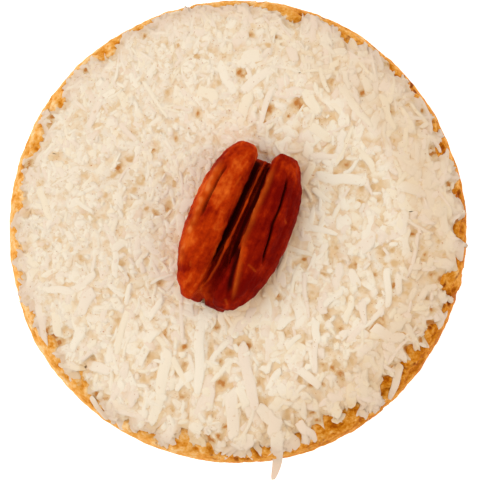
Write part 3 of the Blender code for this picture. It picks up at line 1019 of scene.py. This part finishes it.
def joinedMesh(name, template, copies, tones):
    # one mesh from many laid copies of a template, with a tone and a cell of the map for each
    count = len(copies)
    size = len(template["verts"])
    corners = np.array([index for face in template["faces"] for index in face])
    sizes = np.array([len(face) for face in template["faces"]])
    allCorners = (corners[None, :] + size * np.arange(count)[:, None]).ravel()
    allSizes = np.tile(sizes, count)
    mesh = bpy.data.meshes.new(name)
    mesh.vertices.add(count * size)
    mesh.loops.add(len(allCorners))
    mesh.polygons.add(len(allSizes))
    mesh.vertices.foreach_set("co", (np.concatenate(copies) * mm).astype(np.float32).ravel())
    mesh.loops.foreach_set("vertex_index", allCorners.astype(np.int32))
    starts = np.concatenate([[0], np.cumsum(allSizes)[:-1]])
    mesh.polygons.foreach_set("loop_start", starts.astype(np.int32))
    mesh.update(calc_edges=True)
    cells = int(math.ceil(math.sqrt(count)))
    cellX = (np.arange(count) % cells)[:, None]
    cellY = (np.arange(count) // cells)[:, None]
    u = (cellX + template["maps"][None, :, 0]) / cells
    v = (cellY + template["maps"][None, :, 1]) / cells
    layout = mesh.uv_layers.new(name="OFBake")
    layout.uv.foreach_set("vector", np.stack([u, v], 2).astype(np.float32).ravel())
    places = vertPlaces(mesh) / mm
    radius = np.hypot(places[:, 0], places[:, 1])
    # the lower a place lies under the mean around it, the darker its tone: painted shade in the crevices
    above = places[:, 2] - biscuitTop(radius) - evenTops[heapCell(places[:, 0], places[:, 1])]
    base, differing, higher = heap["tone"]
    shade = base + differing * np.repeat(np.array(tones), size) + higher * above
    addShade(mesh, "tone", np.clip(shade, 0.0, 1.0))
    addShade(mesh, "tint", np.repeat(random.uniform(0.0, 1.0, count), size))
    # painted warm shade beside the pecan, and painted shade toward the right rim
    addShade(mesh, "warm", pecanShadeTint(places[:, 0], places[:, 1]))
    addShade(mesh, "toast", browned(places[:, 0], places[:, 1]))
    mesh.validate()
    mesh.shade_smooth()
    softenLight(mesh, places)
    return mesh


# each kind: how many, lengths, widths and thicknesses in mm, how far it may curl and bend, how
# far it may lie off the common way in degrees, and how finely it is cut and how far rounded off
shredKinds = {
    "chips": {"count": 3100, "length": (0.9, 2.8), "width": (0.5, 1.4), "thickness": (0.24, 0.46),
              "curl": 0.06, "bend": 0.5, "spread": 65.0, "segments": 3, "rounding": 0.17},
    "flakes": {"count": 1150, "length": (2.4, 6.5), "width": (1.0, 2.3), "thickness": (0.20, 0.34),
               "curl": 0.10, "bend": 0.45, "spread": 38.0, "segments": 7, "rounding": 0.12},
    "strands": {"count": 260, "length": (3.5, 8.0), "width": (0.5, 0.95), "thickness": (0.26, 0.42),
                "curl": 0.12, "bend": 0.6, "spread": 40.0, "segments": 10, "rounding": 0.16},
}

# the longer shreds that lie on top: both ends, width, bend and how far they taper
topShreds = [
    (-0.6, 27.0, 4.0, 28.9, 2.2, 0.0, 0.1), (0.7, 22.8, 5.7, 26.5, 1.5, 0.1, 0.1),
    (-3.0, 27.2, -0.6, 22.3, 1.4, 0.0, 0.1), (5.7, 23.2, 3.4, 16.2, 1.0, 0.2, 0.4),
    (1.9, 22.3, 0.0, 16.3, 1.7, 0.1, 0.2), (-6.3, 23.2, -3.3, 21.2, 2.1, 0.0, 0.1),
    (10.8, 23.2, 13.1, 18.9, 1.9, 0.0, 0.4), (16.4, 23.8, 21.8, 16.9, 1.5, 0.1, 0.5),
    (13.3, 26.4, 14.8, 22.5, 0.8, 0.2, 0.3), (17.1, 26.0, 18.1, 23.0, 0.9, 0.0, 0.3),
    (23.4, 22.2, 25.4, 16.4, 1.2, 0.2, 0.3), (12.8, 8.9, 20.8, 8.2, 1.7, 0.1, 0.1),
    (11.9, 12.0, 16.2, 12.0, 1.1, -0.3, 0.4), (17.1, 16.4, 16.4, 12.5, 1.2, 0.2, 0.2),
    (18.4, 13.4, 22.5, 9.0, 1.3, -0.9, 0.3), (12.1, 6.9, 15.1, 4.7, 1.0, 0.1, 0.5),
    (-15.1, 24.3, -11.3, 18.4, 0.7, 0.1, 0.3), (-21.8, 21.8, -24.1, 16.8, 1.1, 0.1, 0.1),
    (-19.0, 17.5, -15.5, 13.8, 0.9, 0.1, 0.3), (-31.8, 7.1, -30.0, 1.6, 1.2, 0.3, 0.3),
    (-26.2, 5.0, -23.4, 3.2, 0.8, 0.0, 0.3), (-31.3, -8.9, -26.5, -9.7, 1.3, 0.3, 0.1),
    (-27.0, -9.7, -23.0, -6.5, 1.3, 0.5, 0.2), (-32.3, -10.2, -31.2, -18.0, 1.4, 0.1, 0.3),
    (-29.6, -13.0, -28.9, -17.0, 1.4, 0.0, 0.1), (-25.0, -16.0, -27.6, -20.6, 1.2, 0.1, 0.4),
    (-24.6, -22.2, -29.0, -21.6, 1.0, 0.0, 0.2), (-24.5, -21.3, -20.3, -22.6, 1.6, 0.1, 0.1),
    (-17.5, -12.0, -19.6, -19.8, 1.1, 0.1, 0.1), (-14.3, -14.0, -12.1, -10.8, 1.0, 0.0, 0.2),
    (-20.8, -8.5, -18.2, -10.6, 0.9, 0.1, 0.1), (-23.3, -9.5, -25.5, -13.4, 1.8, 0.1, 0.2),
    (-9.1, -9.6, -8.8, -18.0, 0.7, 0.1, 0.2), (-5.6, -13.4, -6.4, -26.2, 1.6, 0.1, 0.1),
    (-11.5, -18.9, -14.0, -31.0, 1.7, -0.35, 0.1), (-10.4, -20.2, -7.7, -25.4, 1.0, 0.2, 0.2),
    (-1.4, -17.5, -4.9, -22.0, 0.9, 0.3, 0.2), (-0.8, -20.6, -4.2, -24.3, 0.9, 0.0, 0.2),
    (-2.8, -13.2, -1.8, -16.6, 1.1, 0.0, 0.6), (0.7, -18.0, 3.0, -28.8, 1.7, 0.1, 0.0),
    (-0.9, -25.6, -0.7, -33.4, 2.0, 0.0, 0.1), (8.6, -22.0, 13.3, -25.2, 1.5, -0.7, 0.2),
    (11.3, -17.2, 12.6, -22.4, 0.9, 0.1, 0.1), (7.0, -22.3, 4.7, -25.5, 1.0, 0.1, 0.2),
    (3.4, -29.5, 7.0, -29.9, 2.6, 0.0, 0.2), (10.6, -27.0, 10.9, -30.4, 1.0, 0.3, 0.3),
    (-18.1, -11.8, -17.4, -8.4, 0.8, 0.1, 0.2), (10.3, 1.0, 16.1, -0.5, 1.2, -0.2, 0.5),
    (24.3, -5.9, 24.3, -12.2, 1.1, 0.0, 0.1), (16.4, -5.1, 16.0, -9.0, 1.4, 0.0, 0.1),
    (13.9, -11.9, 17.0, -9.4, 1.0, 0.1, 0.1), (18.6, -10.4, 17.5, -14.8, 1.1, 0.1, 0.1),
    (20.1, -11.0, 20.6, -15.0, 1.2, 0.0, 0.5), (12.5, -14.0, 12.8, -17.9, 1.3, 0.0, 0.1),
    (12.6, -17.9, 12.5, -22.8, 0.9, 0.1, 0.1), (10.8, -6.7, 11.5, -13.9, 0.7, 0.2, 0.1),
    (26.1, -6.8, 26.1, -10.2, 1.0, 0.0, 0.1), (21.6, -15.8, 26.9, -17.4, 1.9, 0.0, 0.1),
]

# pointed shreds that stand out over the bare rim, and the one that hangs over the edge
edgeShreds = [
    (5.9, -29.4, 6.3, -35.4, 2.1, 0.0, 0.1), (6.5, -32.4, 5.9, -40.5, 2.1, -0.25, 0.62),
    (9.6, -31.0, 12.9, -34.0, 1.6, -0.4, 0.5), (8.4, -32.8, 9.9, -35.1, 1.7, 0.0, 0.1),
    (15.3, -29.4, 16.9, -30.9, 0.8, 0.0, 0.5), (17.4, -27.4, 17.8, -29.0, 0.7, 0.0, 0.7),
    (2.7, -33.6, 3.9, -36.2, 1.1, 0.1, 0.3), (-1.0, -34.2, 1.0, -35.2, 0.8, 0.3, 0.2),
    (0.9, -32.6, 1.3, -34.8, 0.8, 0.0, 0.3), (-23.8, -26.8, -21.2, -30.6, 1.2, 0.1, 0.4),
    (20.0, -29.0, 21.5, -30.6, 1.2, 0.0, 0.3), (26.6, -21.5, 24.8, -27.3, 1.5, 0.1, 0.4),
    (36.5, -2.0, 37.6, -2.4, 0.9, 0.0, 0.3),
]


def randomShred(kind, x, y, heading):
    # one of a kind; toward the upper left they are shorter and narrower
    pointed = random.uniform() < 0.15
    fine = fineness(x, y)
    length = random.uniform(*kind["length"]) * (1.0 - 0.35 * fine)
    width = random.uniform(*kind["width"]) * (1.0 - 0.3 * fine)
    most = 0.6 * length / width
    return {
        "x": x,
        "y": y,
        "heading": heading,
        "length": length,
        "width": width,
        "thickness": random.uniform(*kind["thickness"]),
        "bend": np.clip(random.normal(0.0, kind["bend"]), -most, most),
        "hook": np.clip(random.normal(0.0, 1.5 * kind["bend"]), -most, most),
        "curl": random.normal(0.0, kind["curl"]),
        "dip": random.uniform(0.0, 0.14),        # how far both ends bend down
        "sunk": random.uniform(0.0, 0.12),       # how far all of it is pressed in
        "plunge": random.uniform(0.0, 0.45),     # how far one end dives into the heap
        "diving": random.choice([-1.0, 1.0]),    # and which one
        "roll": random.normal(0.0, 0.08),
        "twist": random.normal(0.0, 0.2),
        "taper": random.uniform(0.4, 0.75) if pointed else random.uniform(0.0, 0.2),
        "nose": random.uniform(0.3, 0.7),        # how round its ends are in plan
        "cut": random.normal(0.0, 0.22),         # how much they are cut askew, both one way
        "slant": random.normal(0.0, 0.22),       # and each its own way
        "ragged": random.uniform(0.08, 0.32),    # how much its long edges waver
        "waves": random.uniform(5.0, 12.0),
        "phase": random.uniform(0.0, 6.28),
    }


def placedShred(kind, x0, y0, x1, y1, width, bend, taper):
    # one that lies flat from end to end
    spec = randomShred(kind, 0.5 * (x0 + x1), 0.5 * (y0 + y1), math.atan2(y1 - y0, x1 - x0))
    spec.update(length=math.hypot(x1 - x0, y1 - y0), width=width, bend=bend, hook=0.0, taper=taper,
                thickness=0.34, roll=0.0, curl=0.0, dip=0.0, sunk=0.0)
    spec["plunge"] *= 0.6
    return spec


def freeSpot(kind, rim=False):
    # a random shred whose middle lies on the coconut and that leaves the hollows open
    while True:
        angle = random.uniform(0.0, math.tau)
        edge = float(layerEdge(np.array([angle]))[0])
        if rim:
            radius = edge - random.uniform(*heap["rimBand"])
        else:
            radius = layer["radius"] * math.sqrt(random.uniform(0.0, 1.0))
        toEdge = edge - radius
        x = radius * math.cos(angle)
        y = radius * math.sin(angle)
        heading = random.normal(math.radians(heap["lie"]), math.radians(kind["spread"]))
        # near the edge most of them point outward
        if random.uniform() < 1.0 - toEdge / 4.0:
            heading = angle + random.normal(0.0, 0.75)
        spec = randomShred(kind, x, y, heading)
        # none reaches past the edge or lies under the pecan
        lengthwise = abs(math.cos(heading - angle))
        if toEdge < 0.47 * spec["length"] * lengthwise + 0.42 * spec["width"] * (1.0 - lengthwise):
            continue
        if pecanShare(x, y) < 0.93:
            continue
        share, heading, x, y = shredPath(spec)
        if overPit(x, y, spec["width"]):
            continue
        return spec


templates = {name: ribbonTemplate(kind["segments"], True, kind["rounding"])
             for name, kind in shredKinds.items()}
templates["tips"] = ribbonTemplate(segments=12, bedded=False)


def layHeap():
    # lays every shred, one on the other, and returns their verts and tones by kind
    for turn in range(heap["pressed"]):
        # the pressed bottom only shows as the core's relief
        name = random.choice(["chips", "chips", "flakes"])
        layShred(templates[name], freeSpot(shredKinds[name]))
    print("pressed the heap's bottom", heap["pressed"], "shreds")
    shreds = {name: [] for name in templates}
    for share in (0.5, 0.3, 0.2):
        for name, kind in shredKinds.items():
            for turn in range(int(kind["count"] * share)):
                rim = random.uniform() < heap["rimShare"]
                verts = layShred(templates[name], freeSpot(kind, rim))
                shreds[name].append((verts, random.uniform(0.0, 1.0)))
    placedByHand = (("strands", topShreds, (0.7, 1.0)), ("tips", edgeShreds, (0.5, 0.9)))
    for name, places, tones in placedByHand:
        for placed in places:
            verts = layShred(templates[name], placedShred(shredKinds["strands"], *placed))
            shreds[name].append((verts, random.uniform(*tones)))
    print("laid", {name: len(store) for name, store in shreds.items()})
    return shreds


def surroundings(size):
    # mean height of the coconut around each cell, leaving out bare crust and the pecan's seat
    x, y = heapPlaces()
    shown = np.hypot(x, y) < layerEdge(np.arctan2(y, x)) - 0.2
    shown = shown & (pecanShare(x, y) > 1.0)
    return blurred(tops * shown, size) / np.maximum(blurred(shown.astype(float), size), 0.02)


laid = layHeap()
evenTops = surroundings(heap["around"])
coconut = coconutPaint()
for name, store in laid.items():
    piece = "coconut_" + name
    copies, tones = zip(*store)
    addPiece(piece, joinedMesh(piece, templates[name], copies, tones), coconut,
             "coconut_layer")


def flatWobble(x, y, size, seed):
    # smooth noise in plan, the same at any height
    return wobble(np.stack([x, y, np.zeros_like(x)], 1), size, seed)


def pitBrown(x, y):
    # how much of the biscuit's brown shows at each place, the hollows uneven in outline
    shiftX = 0.7 * flatWobble(x, y, 1.6, 17)
    shiftY = 0.7 * flatWobble(x, y, 1.6, 18)
    x = x + shiftX
    y = y + shiftY
    brown = np.zeros_like(x)
    for pitX, pitY, size, strength in pits:
        away = ((x - pitX) ** 2 + (y - pitY) ** 2) / (1.4 * size) ** 2
        brown = np.maximum(brown, strength * np.exp(-0.5 * away))
    return brown


def squareToRound(u, v):
    # square rings become round ones: share of the way out, and angle
    share = np.maximum(np.abs(u), np.abs(v))
    wide = np.abs(u) >= np.abs(v)
    longer = np.where(wide, u, v)
    lean = np.where(wide, v, u) / np.where(longer == 0.0, 1.0, longer)
    sideways = np.where(u < 0.0, math.pi, 0.0)
    lengthwise = np.where(v < 0.0, -math.pi / 2, math.pi / 2)
    angle = np.where(wide, sideways, lengthwise) + np.where(wide, lean, -lean) * math.pi / 4
    return share, angle


def coreMap(mesh, x, y, low):
    # seen from above, its side in a ring round the top, and its floor small in a corner
    corners = np.empty(len(mesh.loops), np.int32)
    mesh.loops.foreach_get("vertex_index", corners)
    topReach, footReach = core["mapReach"]
    spread = np.stack([x, y], 1) / np.where(low, footReach, topReach)[:, None]
    uv = 0.5 + 0.5 * spread[corners]
    floor = max(mesh.polygons, key=lambda face: face.loop_total)
    turn = np.linspace(0.0, math.tau, floor.loop_total, endpoint=False)
    for step, corner in enumerate(floor.loop_indices):
        uv[corner] = (0.03 + 0.02 * math.cos(turn[step]), 0.03 + 0.02 * math.sin(turn[step]))
    layout = mesh.uv_layers.new(name="OFBake")
    layout.uv.foreach_set("vector", uv.astype(np.float32).ravel())


def makeCore(material):
    sheet = bmesh.new()
    bmesh.ops.create_grid(sheet, x_segments=core["cells"], y_segments=core["cells"], size=1.0)
    mesh = meshFrom(boxed(sheet, -1.0), "coconut_core")
    square = vertPlaces(mesh)
    low = square[:, 2] < -0.5
    share, angle = squareToRound(square[:, 0], square[:, 1])
    radius = share * (layerEdge(angle) - core["inset"])
    x = radius * np.cos(angle)
    y = radius * np.sin(angle)
    column, row = heapCell(x, y)
    least, most = core["below"]
    fine = np.clip(fineness(x, y) + 0.6 * flatWobble(x, y, 4.0, 12), 0.0, 1.0)
    sunk = most + (least - most) * fine
    gritHeight, gritSize = core["grit"]
    relief = gritHeight * flatWobble(x, y, gritSize, 5)
    brown = pitBrown(x, y) * (0.9 + 0.9 * flatWobble(x, y, 0.7, 13))
    over = blurred(tops, core["blur"])[column, row] - sunk + relief
    edgeFade = smoothStep((1.0 - share) * 36.0 / core["edgeFade"])
    skin = biscuitTop(radius)
    top = np.minimum(skin + over * edgeFade, seatHeight(x, y) - 0.15) - 0.1 * (1.0 - edgeFade)
    z = np.where(low, skin - core["sink"], top)
    coreMap(mesh, x, y, low)
    movePlaces(mesh, np.stack([x, y, z], 1) * mm)
    addShade(mesh, "brown", brown)
    # the lower a place lies under the mean around it, the darker its tone: painted shade in its hollows
    base, higher = core["tone"]
    tone = base + higher * (top - skin - evenTops[column, row])
    addShade(mesh, "tone", np.clip(tone, 0.0, 1.0))
    # painted warm shade beside the pecan, and painted shade toward the right rim
    addShade(mesh, "warm", pecanShadeTint(x, y))
    addShade(mesh, "toast", browned(x, y))
    mesh.shade_smooth()
    softenLight(mesh, np.stack([x, y, z], 1))
    return addPiece("coconut_core", mesh, material, "coconut_layer")


makeCore(corePaint())


def longSphere(segments=48, rings=60):
    # a ball whose poles are the pecan's two ends
    shape = bmesh.new()
    bmesh.ops.create_uvsphere(shape, u_segments=segments, v_segments=rings, radius=1.0)
    upright = Matrix.Rotation(math.radians(-90), 4, "X")
    bmesh.ops.transform(shape, matrix=upright, verts=shape.verts)
    return shape


def section(vert):
    # how far along a vert lies, and which way across and up from the middle line
    pole = vert.co.y
    girth = math.hypot(vert.co.x, vert.co.z)
    if girth < 0.0001:
        return pole, 0.0, 0.0
    return pole, vert.co.x / girth, vert.co.z / girth


def fullness(pole, power=3.0):
    # how thick a long body is at a place along it; a higher power gives blunter ends
    return max(1.0 - abs(pole) ** power, 0.0) ** (1.0 / power)


def lobeShape(lobe):
    # a long rounded body, its upper edge toward the furrow squarer than the others
    shape = longSphere()
    for vert in shape.verts:
        pole, across, up = section(vert)
        end = 0 if pole > 0.0 else 1
        girth = fullness(pole, lobe["power"][end])
        square = 2.0 + lobe["square"] * min(4.0 * max(across * lobe["side"], 0.0) * max(up, 0.0), 1.0)
        corner = max((abs(across) ** square + abs(up) ** square) ** (1.0 / square), 0.0001)
        halfWidth = lobe["halfWidth"] * (1.0 - lobe["narrowing"][end] * pole * pole)
        middle = lobe["middle"] + (lobe["tips"][end] - lobe["middle"]) * pole * pole
        vert.co.x = middle + across / corner * girth * halfWidth
        vert.co.y = pole * lobe["reach"][end]
        vert.co.z = pecan["height"] - 0.5 * pecan["lobeHeight"] * (1.0 - up / corner * girth)
    return shape


def bodyShape():
    halfWidth, halfLength, halfHeight = pecan["body"]
    shape = longSphere()
    for vert in shape.verts:
        pole, across, up = section(vert)
        girth = fullness(pole)
        corner = max((abs(across) ** 3 + abs(up) ** 3) ** (1.0 / 3.0), 0.0001)
        vert.co.x = across / corner * girth * halfWidth
        vert.co.y = pole * halfLength
        vert.co.z = halfHeight * (1.0 + up / corner * girth)
    return shape


# the furrow between the lobes: where its crest and its two grooves run, across and up, in mm
furrow = {
    "along": (-13.4, -12.0, -10.0, -7.2, -4.8, -1.8, 0.7, 2.8, 7.0, 10.0, 11.6),
    "crest": (-2.6, -1.9, -1.1, -0.74, -0.7, -0.62, -0.5, -0.44, -0.4, -0.25, -0.18),
    "crestHeight": (3.8, 4.8, 5.5, 5.9, 6.0, 6.0, 6.0, 6.0, 5.8, 5.3, 4.4),
    "left": (-3.6, -3.2, -2.7, -2.3, -1.9, -1.55, -1.45, -1.4, -1.3, -1.25, -1.2),
    "leftHeight": (3.4, 4.4, 4.6, 3.4, 2.4, 1.6, 1.4, 1.2, 1.2, 1.4, 1.8),
    "right": (2.6, 2.4, 2.0, 1.2, 0.7, 0.5, 0.45, 0.5, 0.6, 0.6, 0.6),
    "rightHeight": (3.6, 4.3, 4.4, 3.4, 2.6, 2.0, 1.8, 1.8, 1.8, 1.8, 2.0),
    "reach": (11.7, 14.4),       # at its upper and at its lower end
    "halfWidth": 3.2,
    "floor": 1.0,
    "notch": (-0.6, 0.3, 1.6),   # where it is across, its half width and its depth
}


def furrowLine(name, along):
    return np.interp(along, furrow["along"], furrow[name])


def furrowHeight(across, along):
    # down from the keel's crest into the groove on either side
    crest = furrowLine("crest", along)
    top = furrowLine("crestHeight", along)
    leftShare = np.clip((crest - across) / (crest - furrowLine("left", along)), 0.0, 1.6)
    rightShare = np.clip((across - crest) / (furrowLine("right", along) - crest), 0.0, 1.4)
    onLeft = top + (furrowLine("leftHeight", along) - top) * leftShare ** 0.8
    onRight = top + (furrowLine("rightHeight", along) - top) * rightShare ** 1.5
    return np.where(across < crest, onLeft, onRight)


def furrowShape():
    shape = bmesh.new()
    bmesh.ops.create_grid(shape, x_segments=44, y_segments=140, size=1.0)
    for vert in shape.verts:
        pole = vert.co.y
        across = vert.co.x * furrow["halfWidth"] * fullness(max(pole, 0.0), 6.0)
        along = pole * furrow["reach"][0 if pole > 0.0 else 1]
        lowEnd = min(max((-along - 10.0) / 4.4, 0.0), 1.0)
        notch = (across - furrow["notch"][0]) / furrow["notch"][1]
        along += furrow["notch"][2] * math.exp(-notch * notch) * lowEnd
        top = float(furrowHeight(np.array([across]), np.array([along]))[0]) - furrow["floor"]
        rounding = fullness(min(max((-along - 12.6) / 1.8, 0.0), 1.0), 2.2)
        vert.co = (across, along, furrow["floor"] + top * rounding)
    return boxed(shape, furrow["floor"] - 0.2)


def makePecan(material):
    # its parts are melted together and softened, then the skin's relief is laid on
    whole = bmesh.new()
    for shape in (lobeShape(lobes["left"]), lobeShape(lobes["right"]), bodyShape(), furrowShape()):
        part = meshFrom(shape, "pecan_part")
        whole.from_mesh(part)
        bpy.data.meshes.remove(part)
    rough = bpy.data.objects.new("pecan_rough", meshFrom(whole, "pecan_rough"))
    bpy.context.scene.collection.objects.link(rough)
    skin = rough.modifiers.new("Skin", "REMESH")
    skin.mode = "VOXEL"
    skin.voxel_size = pecan["voxel"]
    smoothing = rough.modifiers.new("Smoothing", "SMOOTH")
    smoothing.factor = 0.5
    smoothing.iterations = 3
    finished = rough.evaluated_get(bpy.context.evaluated_depsgraph_get())
    mesh = bpy.data.meshes.new_from_object(finished)
    bpy.data.objects.remove(rough)
    places = vertPlaces(mesh)
    normals = vertNormals(mesh)
    relief, hollow, pale = pecanRelief(places, normals)
    places += normals * relief[:, None]
    places *= np.array(pecan["trim"])
    x, y = cookieFrame(places[:, 0], places[:, 1])
    movePlaces(mesh, np.stack([x, y, places[:, 2] + pecanBase], 1) * mm)
    addShade(mesh, "hollow", hollow)
    addShade(mesh, "pale", pale)
    mesh.shade_smooth()
    mesh.name = "pecan_skin"
    return addPiece("pecan_skin", mesh, material, "pecan_half")


# lines along the pecan: places (along, across) in mm, half widths on the left and right of it,
# and how deep it is carved, or how high it stands out where the depth is negative
creases = {
    # the right groove goes on past the furrow's low end, between the body and the lobe
    "lowGroove": {"line": [(-12.0, 2.8), (-8.4, 2.05), (-5.0, 1.42), (-1.5, 0.85)],
                  "halfWidth": (0.5, 0.5), "depth": 0.5},
    "left": {"line": [(-1.8, -6.4), (1.2, -6.45), (5.2, -6.3), (9.6, -5.8)],
             "halfWidth": (0.28, 0.28), "depth": 0.6},
    "right": {"line": [(-5.0, 6.3), (-2.6, 5.8), (0.1, 5.4), (2.4, 4.95), (6.1, 4.95), (11.6, 4.1)],
              "halfWidth": (0.28, 0.28), "depth": 0.9},
    # the lip and the outer ridge also carry painted highlights, through pale
    "lip": {"line": [(-13.0, 3.9), (-10.2, 3.3), (-8.0, 2.85), (-5.0, 2.25), (-2.4, 1.65),
                     (-1.0, 1.5), (12.0, 1.4)],
            "halfWidth": (0.26, 0.45), "depth": -0.28},
    "outer": {"line": [(-11.0, -6.7), (0.8, -7.35), (9.5, -6.8)],
              "halfWidth": (0.52, 0.52), "depth": -0.2},
    "keel": {"line": list(zip(furrow["along"], furrow["crest"])),
             "halfWidth": (0.17, 0.17), "depth": -0.2},
}


def crease(name, across, along):
    # 1 on a crease's line, fading to both sides and at both ends
    alongs, acrosses = zip(*creases[name]["line"])
    line = np.interp(along, alongs, acrosses)
    onLeft, onRight = creases[name]["halfWidth"]
    away = (across - line) / np.where(across < line, onLeft, onRight)
    ends = smoothStep((along - alongs[0]) / 2.5) * smoothStep((alongs[-1] - along) / 2.5)
    return np.exp(-away * away) * ends


def scratch(across, along, alongA, acrossA, alongB, acrossB):
    # 1 on a short straight line between two places
    lengthwise, sideways = alongB - alongA, acrossB - acrossA
    size = lengthwise ** 2 + sideways ** 2
    share = ((along - alongA) * lengthwise + (across - acrossA) * sideways) / size
    share = np.clip(share, 0.0, 1.0)
    away = np.hypot(along - alongA - share * lengthwise, across - acrossA - share * sideways)
    return np.exp(-(away / 0.16) ** 2)


# scratches where the skin is rubbed pale: both ends of each, along and across
pecanScratches = [
    (-5.3, 3.9, -5.9, 5.5), (7.6, -2.9, 6.3, -3.1), (3.4, -4.5, 2.9, -4.1), (-12.2, 2.6, -12.9, 3.2),
    (4.0, 7.0, 3.6, 7.5), (-8.6, -5.0, -9.2, -4.8),
]


def pecanCreases(places):
    # how strongly each crease shows at each place
    across, along = places[:, 0], places[:, 1]
    waver = 0.22 * wobble(places * np.array([0.0, 1.0, 0.0]), 2.2, 14)
    found = {
        name: crease(name, across + waver if name in ("left", "right") else across, along)
        for name in creases
    }
    # the lip's painted highlight fades out toward the low end
    paintedHighlight = smoothStep((along + 13.0) / 3.5)
    found["lip"] = found["lip"] * paintedHighlight * (0.85 + 0.5 * wobble(places, 1.8, 19))
    # the outer ridge's painted highlight, uneven along it
    found["outer"] = found["outer"] * (0.8 + 0.7 * wobble(places, 1.2, 20))
    return found


def pecanHollow(places, facingUp, found):
    # how deep each place lies in one of the grooves or creases, 0 to 1, painted dark there as shade
    across, along, up = places.T
    leftAway = (across - furrowLine("left", along)) / 0.62
    rightAway = (across - furrowLine("right", along) - 0.2) / 0.42
    below = smoothStep((6.9 - up) / 1.4)
    leftGroove = np.exp(-leftAway ** 4) * smoothStep((along + 10.0) / 4.5) * below
    rightGroove = 0.85 * np.exp(-rightAway ** 4) * smoothStep((along + 12.0) / 7.0) * below
    rightGroove = np.maximum(rightGroove, 0.95 * found["lowGroove"])
    flank = 0.3 * smoothStep((2.2 - np.abs(across)) / 0.8) * smoothStep((6.5 - up) / 0.5)
    hollow = np.maximum(flank, np.maximum(leftGroove, rightGroove))
    hollow = hollow * smoothStep((11.6 - along) / 0.8)
    hollow = hollow + facingUp * (0.6 * found["left"] + 0.85 * found["right"])
    return hollow * (1.0 - 0.9 * facingUp * np.maximum(found["keel"], found["lip"]))


def pecanRelief(places, normals):
    # how far the skin moves outward, how deep in a hollow it is, for painted shade there, and which ridges
    # are pale, partly lighter skin and partly painted highlights
    across, along = places[:, 0], places[:, 1]
    facingUp = smoothStep((normals[:, 2] - 0.1) / 0.4)
    found = pecanCreases(places)
    carved = sum(creases[name]["depth"] * depth for name, depth in found.items())
    # the right lobe leans outward from its lip
    lean = 0.2 * np.maximum(across - 2.0, 0.0) * smoothStep((normals[:, 2] + 0.2) / 1.1)
    drawnOut = places * np.array([1.0, 0.3, 1.0])
    wrinkles = sum(height * wobble(drawnOut, size, seed) for height, size, seed in pecan["wrinkles"])
    dimples = sum(height * wobble(places, size, seed) for height, size, seed in pecan["dimples"])
    hollow = pecanHollow(places, facingUp, found)
    scratches = sum(scratch(across, along, *ends) for ends in pecanScratches)
    # the outer ridge, the lip and the keel's crest carry painted highlights; the scratches are worn pale
    ridges = 1.0 * found["outer"] + 0.3 * found["keel"] + 0.4 * scratches
    pale = 0.66 * found["lip"] + facingUp * ridges
    relief = wrinkles + dimples - carved * facingUp - lean
    return relief, np.clip(hollow, 0.0, 1.0), np.clip(pale, 0.0, 1.0)


def pecanPaint():
    paint = Paint("pecan skin")
    place = paint.place()
    patches = paint.cloud(place, 4.0, 3.0, 0.55)
    fine = paint.cloud(place, 0.7, 3.0, 0.6)
    onPecan = paint.add("Mapping", {"vector_type": "TEXTURE"}, {
        "Vector": place,
        "Location": (pecan["centre"][0] * mm, pecan["centre"][1] * mm, 0.0),
        "Rotation": (0.0, 0.0, pecanTurn),
        "Scale": (mm, mm, mm),
    })
    across = paint.add("SeparateXYZ", {}, {"Vector": onPecan}, 0)
    along = paint.add("SeparateXYZ", {}, {"Vector": onPecan}, 1)
    drawnOut = paint.add("VectorMath", {"operation": "MULTIPLY"}, {0: onPecan, 1: (1.0, 0.2, 1.0)})
    streaks = paint.add("TexNoise", {}, {"Vector": drawnOut, "Scale": 0.9, "Detail": 3.0})
    hollow = paint.shade("hollow")
    pale = paint.shade("pale")
    darker = paint.band(across, -4.0, 2.5)     # the right lobe, partly its own deeper red and partly painted shade, as it is turned away from the light
    tone = (patches - 0.5) * 1.0 + (streaks - 0.5) * 0.9 + (fine - 0.5) * 0.4
    tone = tone + 0.62 - 0.40 * darker
    tone = tone + paint.band(along, 7.5, 12.5) * 0.14 * darker
    colour = paint.ramp(tone,
                        (0.10, pecan["deep"]),
                        (0.36, pecan["dark"]),
                        (0.62, pecan["brown"]),
                        (0.95, pecan["light"]))
    # paler ridges: partly lighter skin, partly painted highlights
    colour = paint.mix(pale * (1.15 - fine * 0.9), colour, pecan["ridge"])
    paintedHighlight = paint.band(pale - fine * 0.4, 0.35, 0.85)
    colour = paint.mix(paintedHighlight * 0.45, colour, pecan["paintedHighlight"])
    # painted shade in the grooves and creases
    colour = paint.mix(paint.band(hollow, 0.0, 1.0), colour, pecan["hollow"])
    return paint.finish(
        Base_Color=colour,
        Roughness=0.6,
        Specular_IOR_Level=0.04,
        Specular_Tint=pecan["sheen"],
        Normal=paint.bump(fine, 0.16, 0.6),
    )


makePecan(pecanPaint())
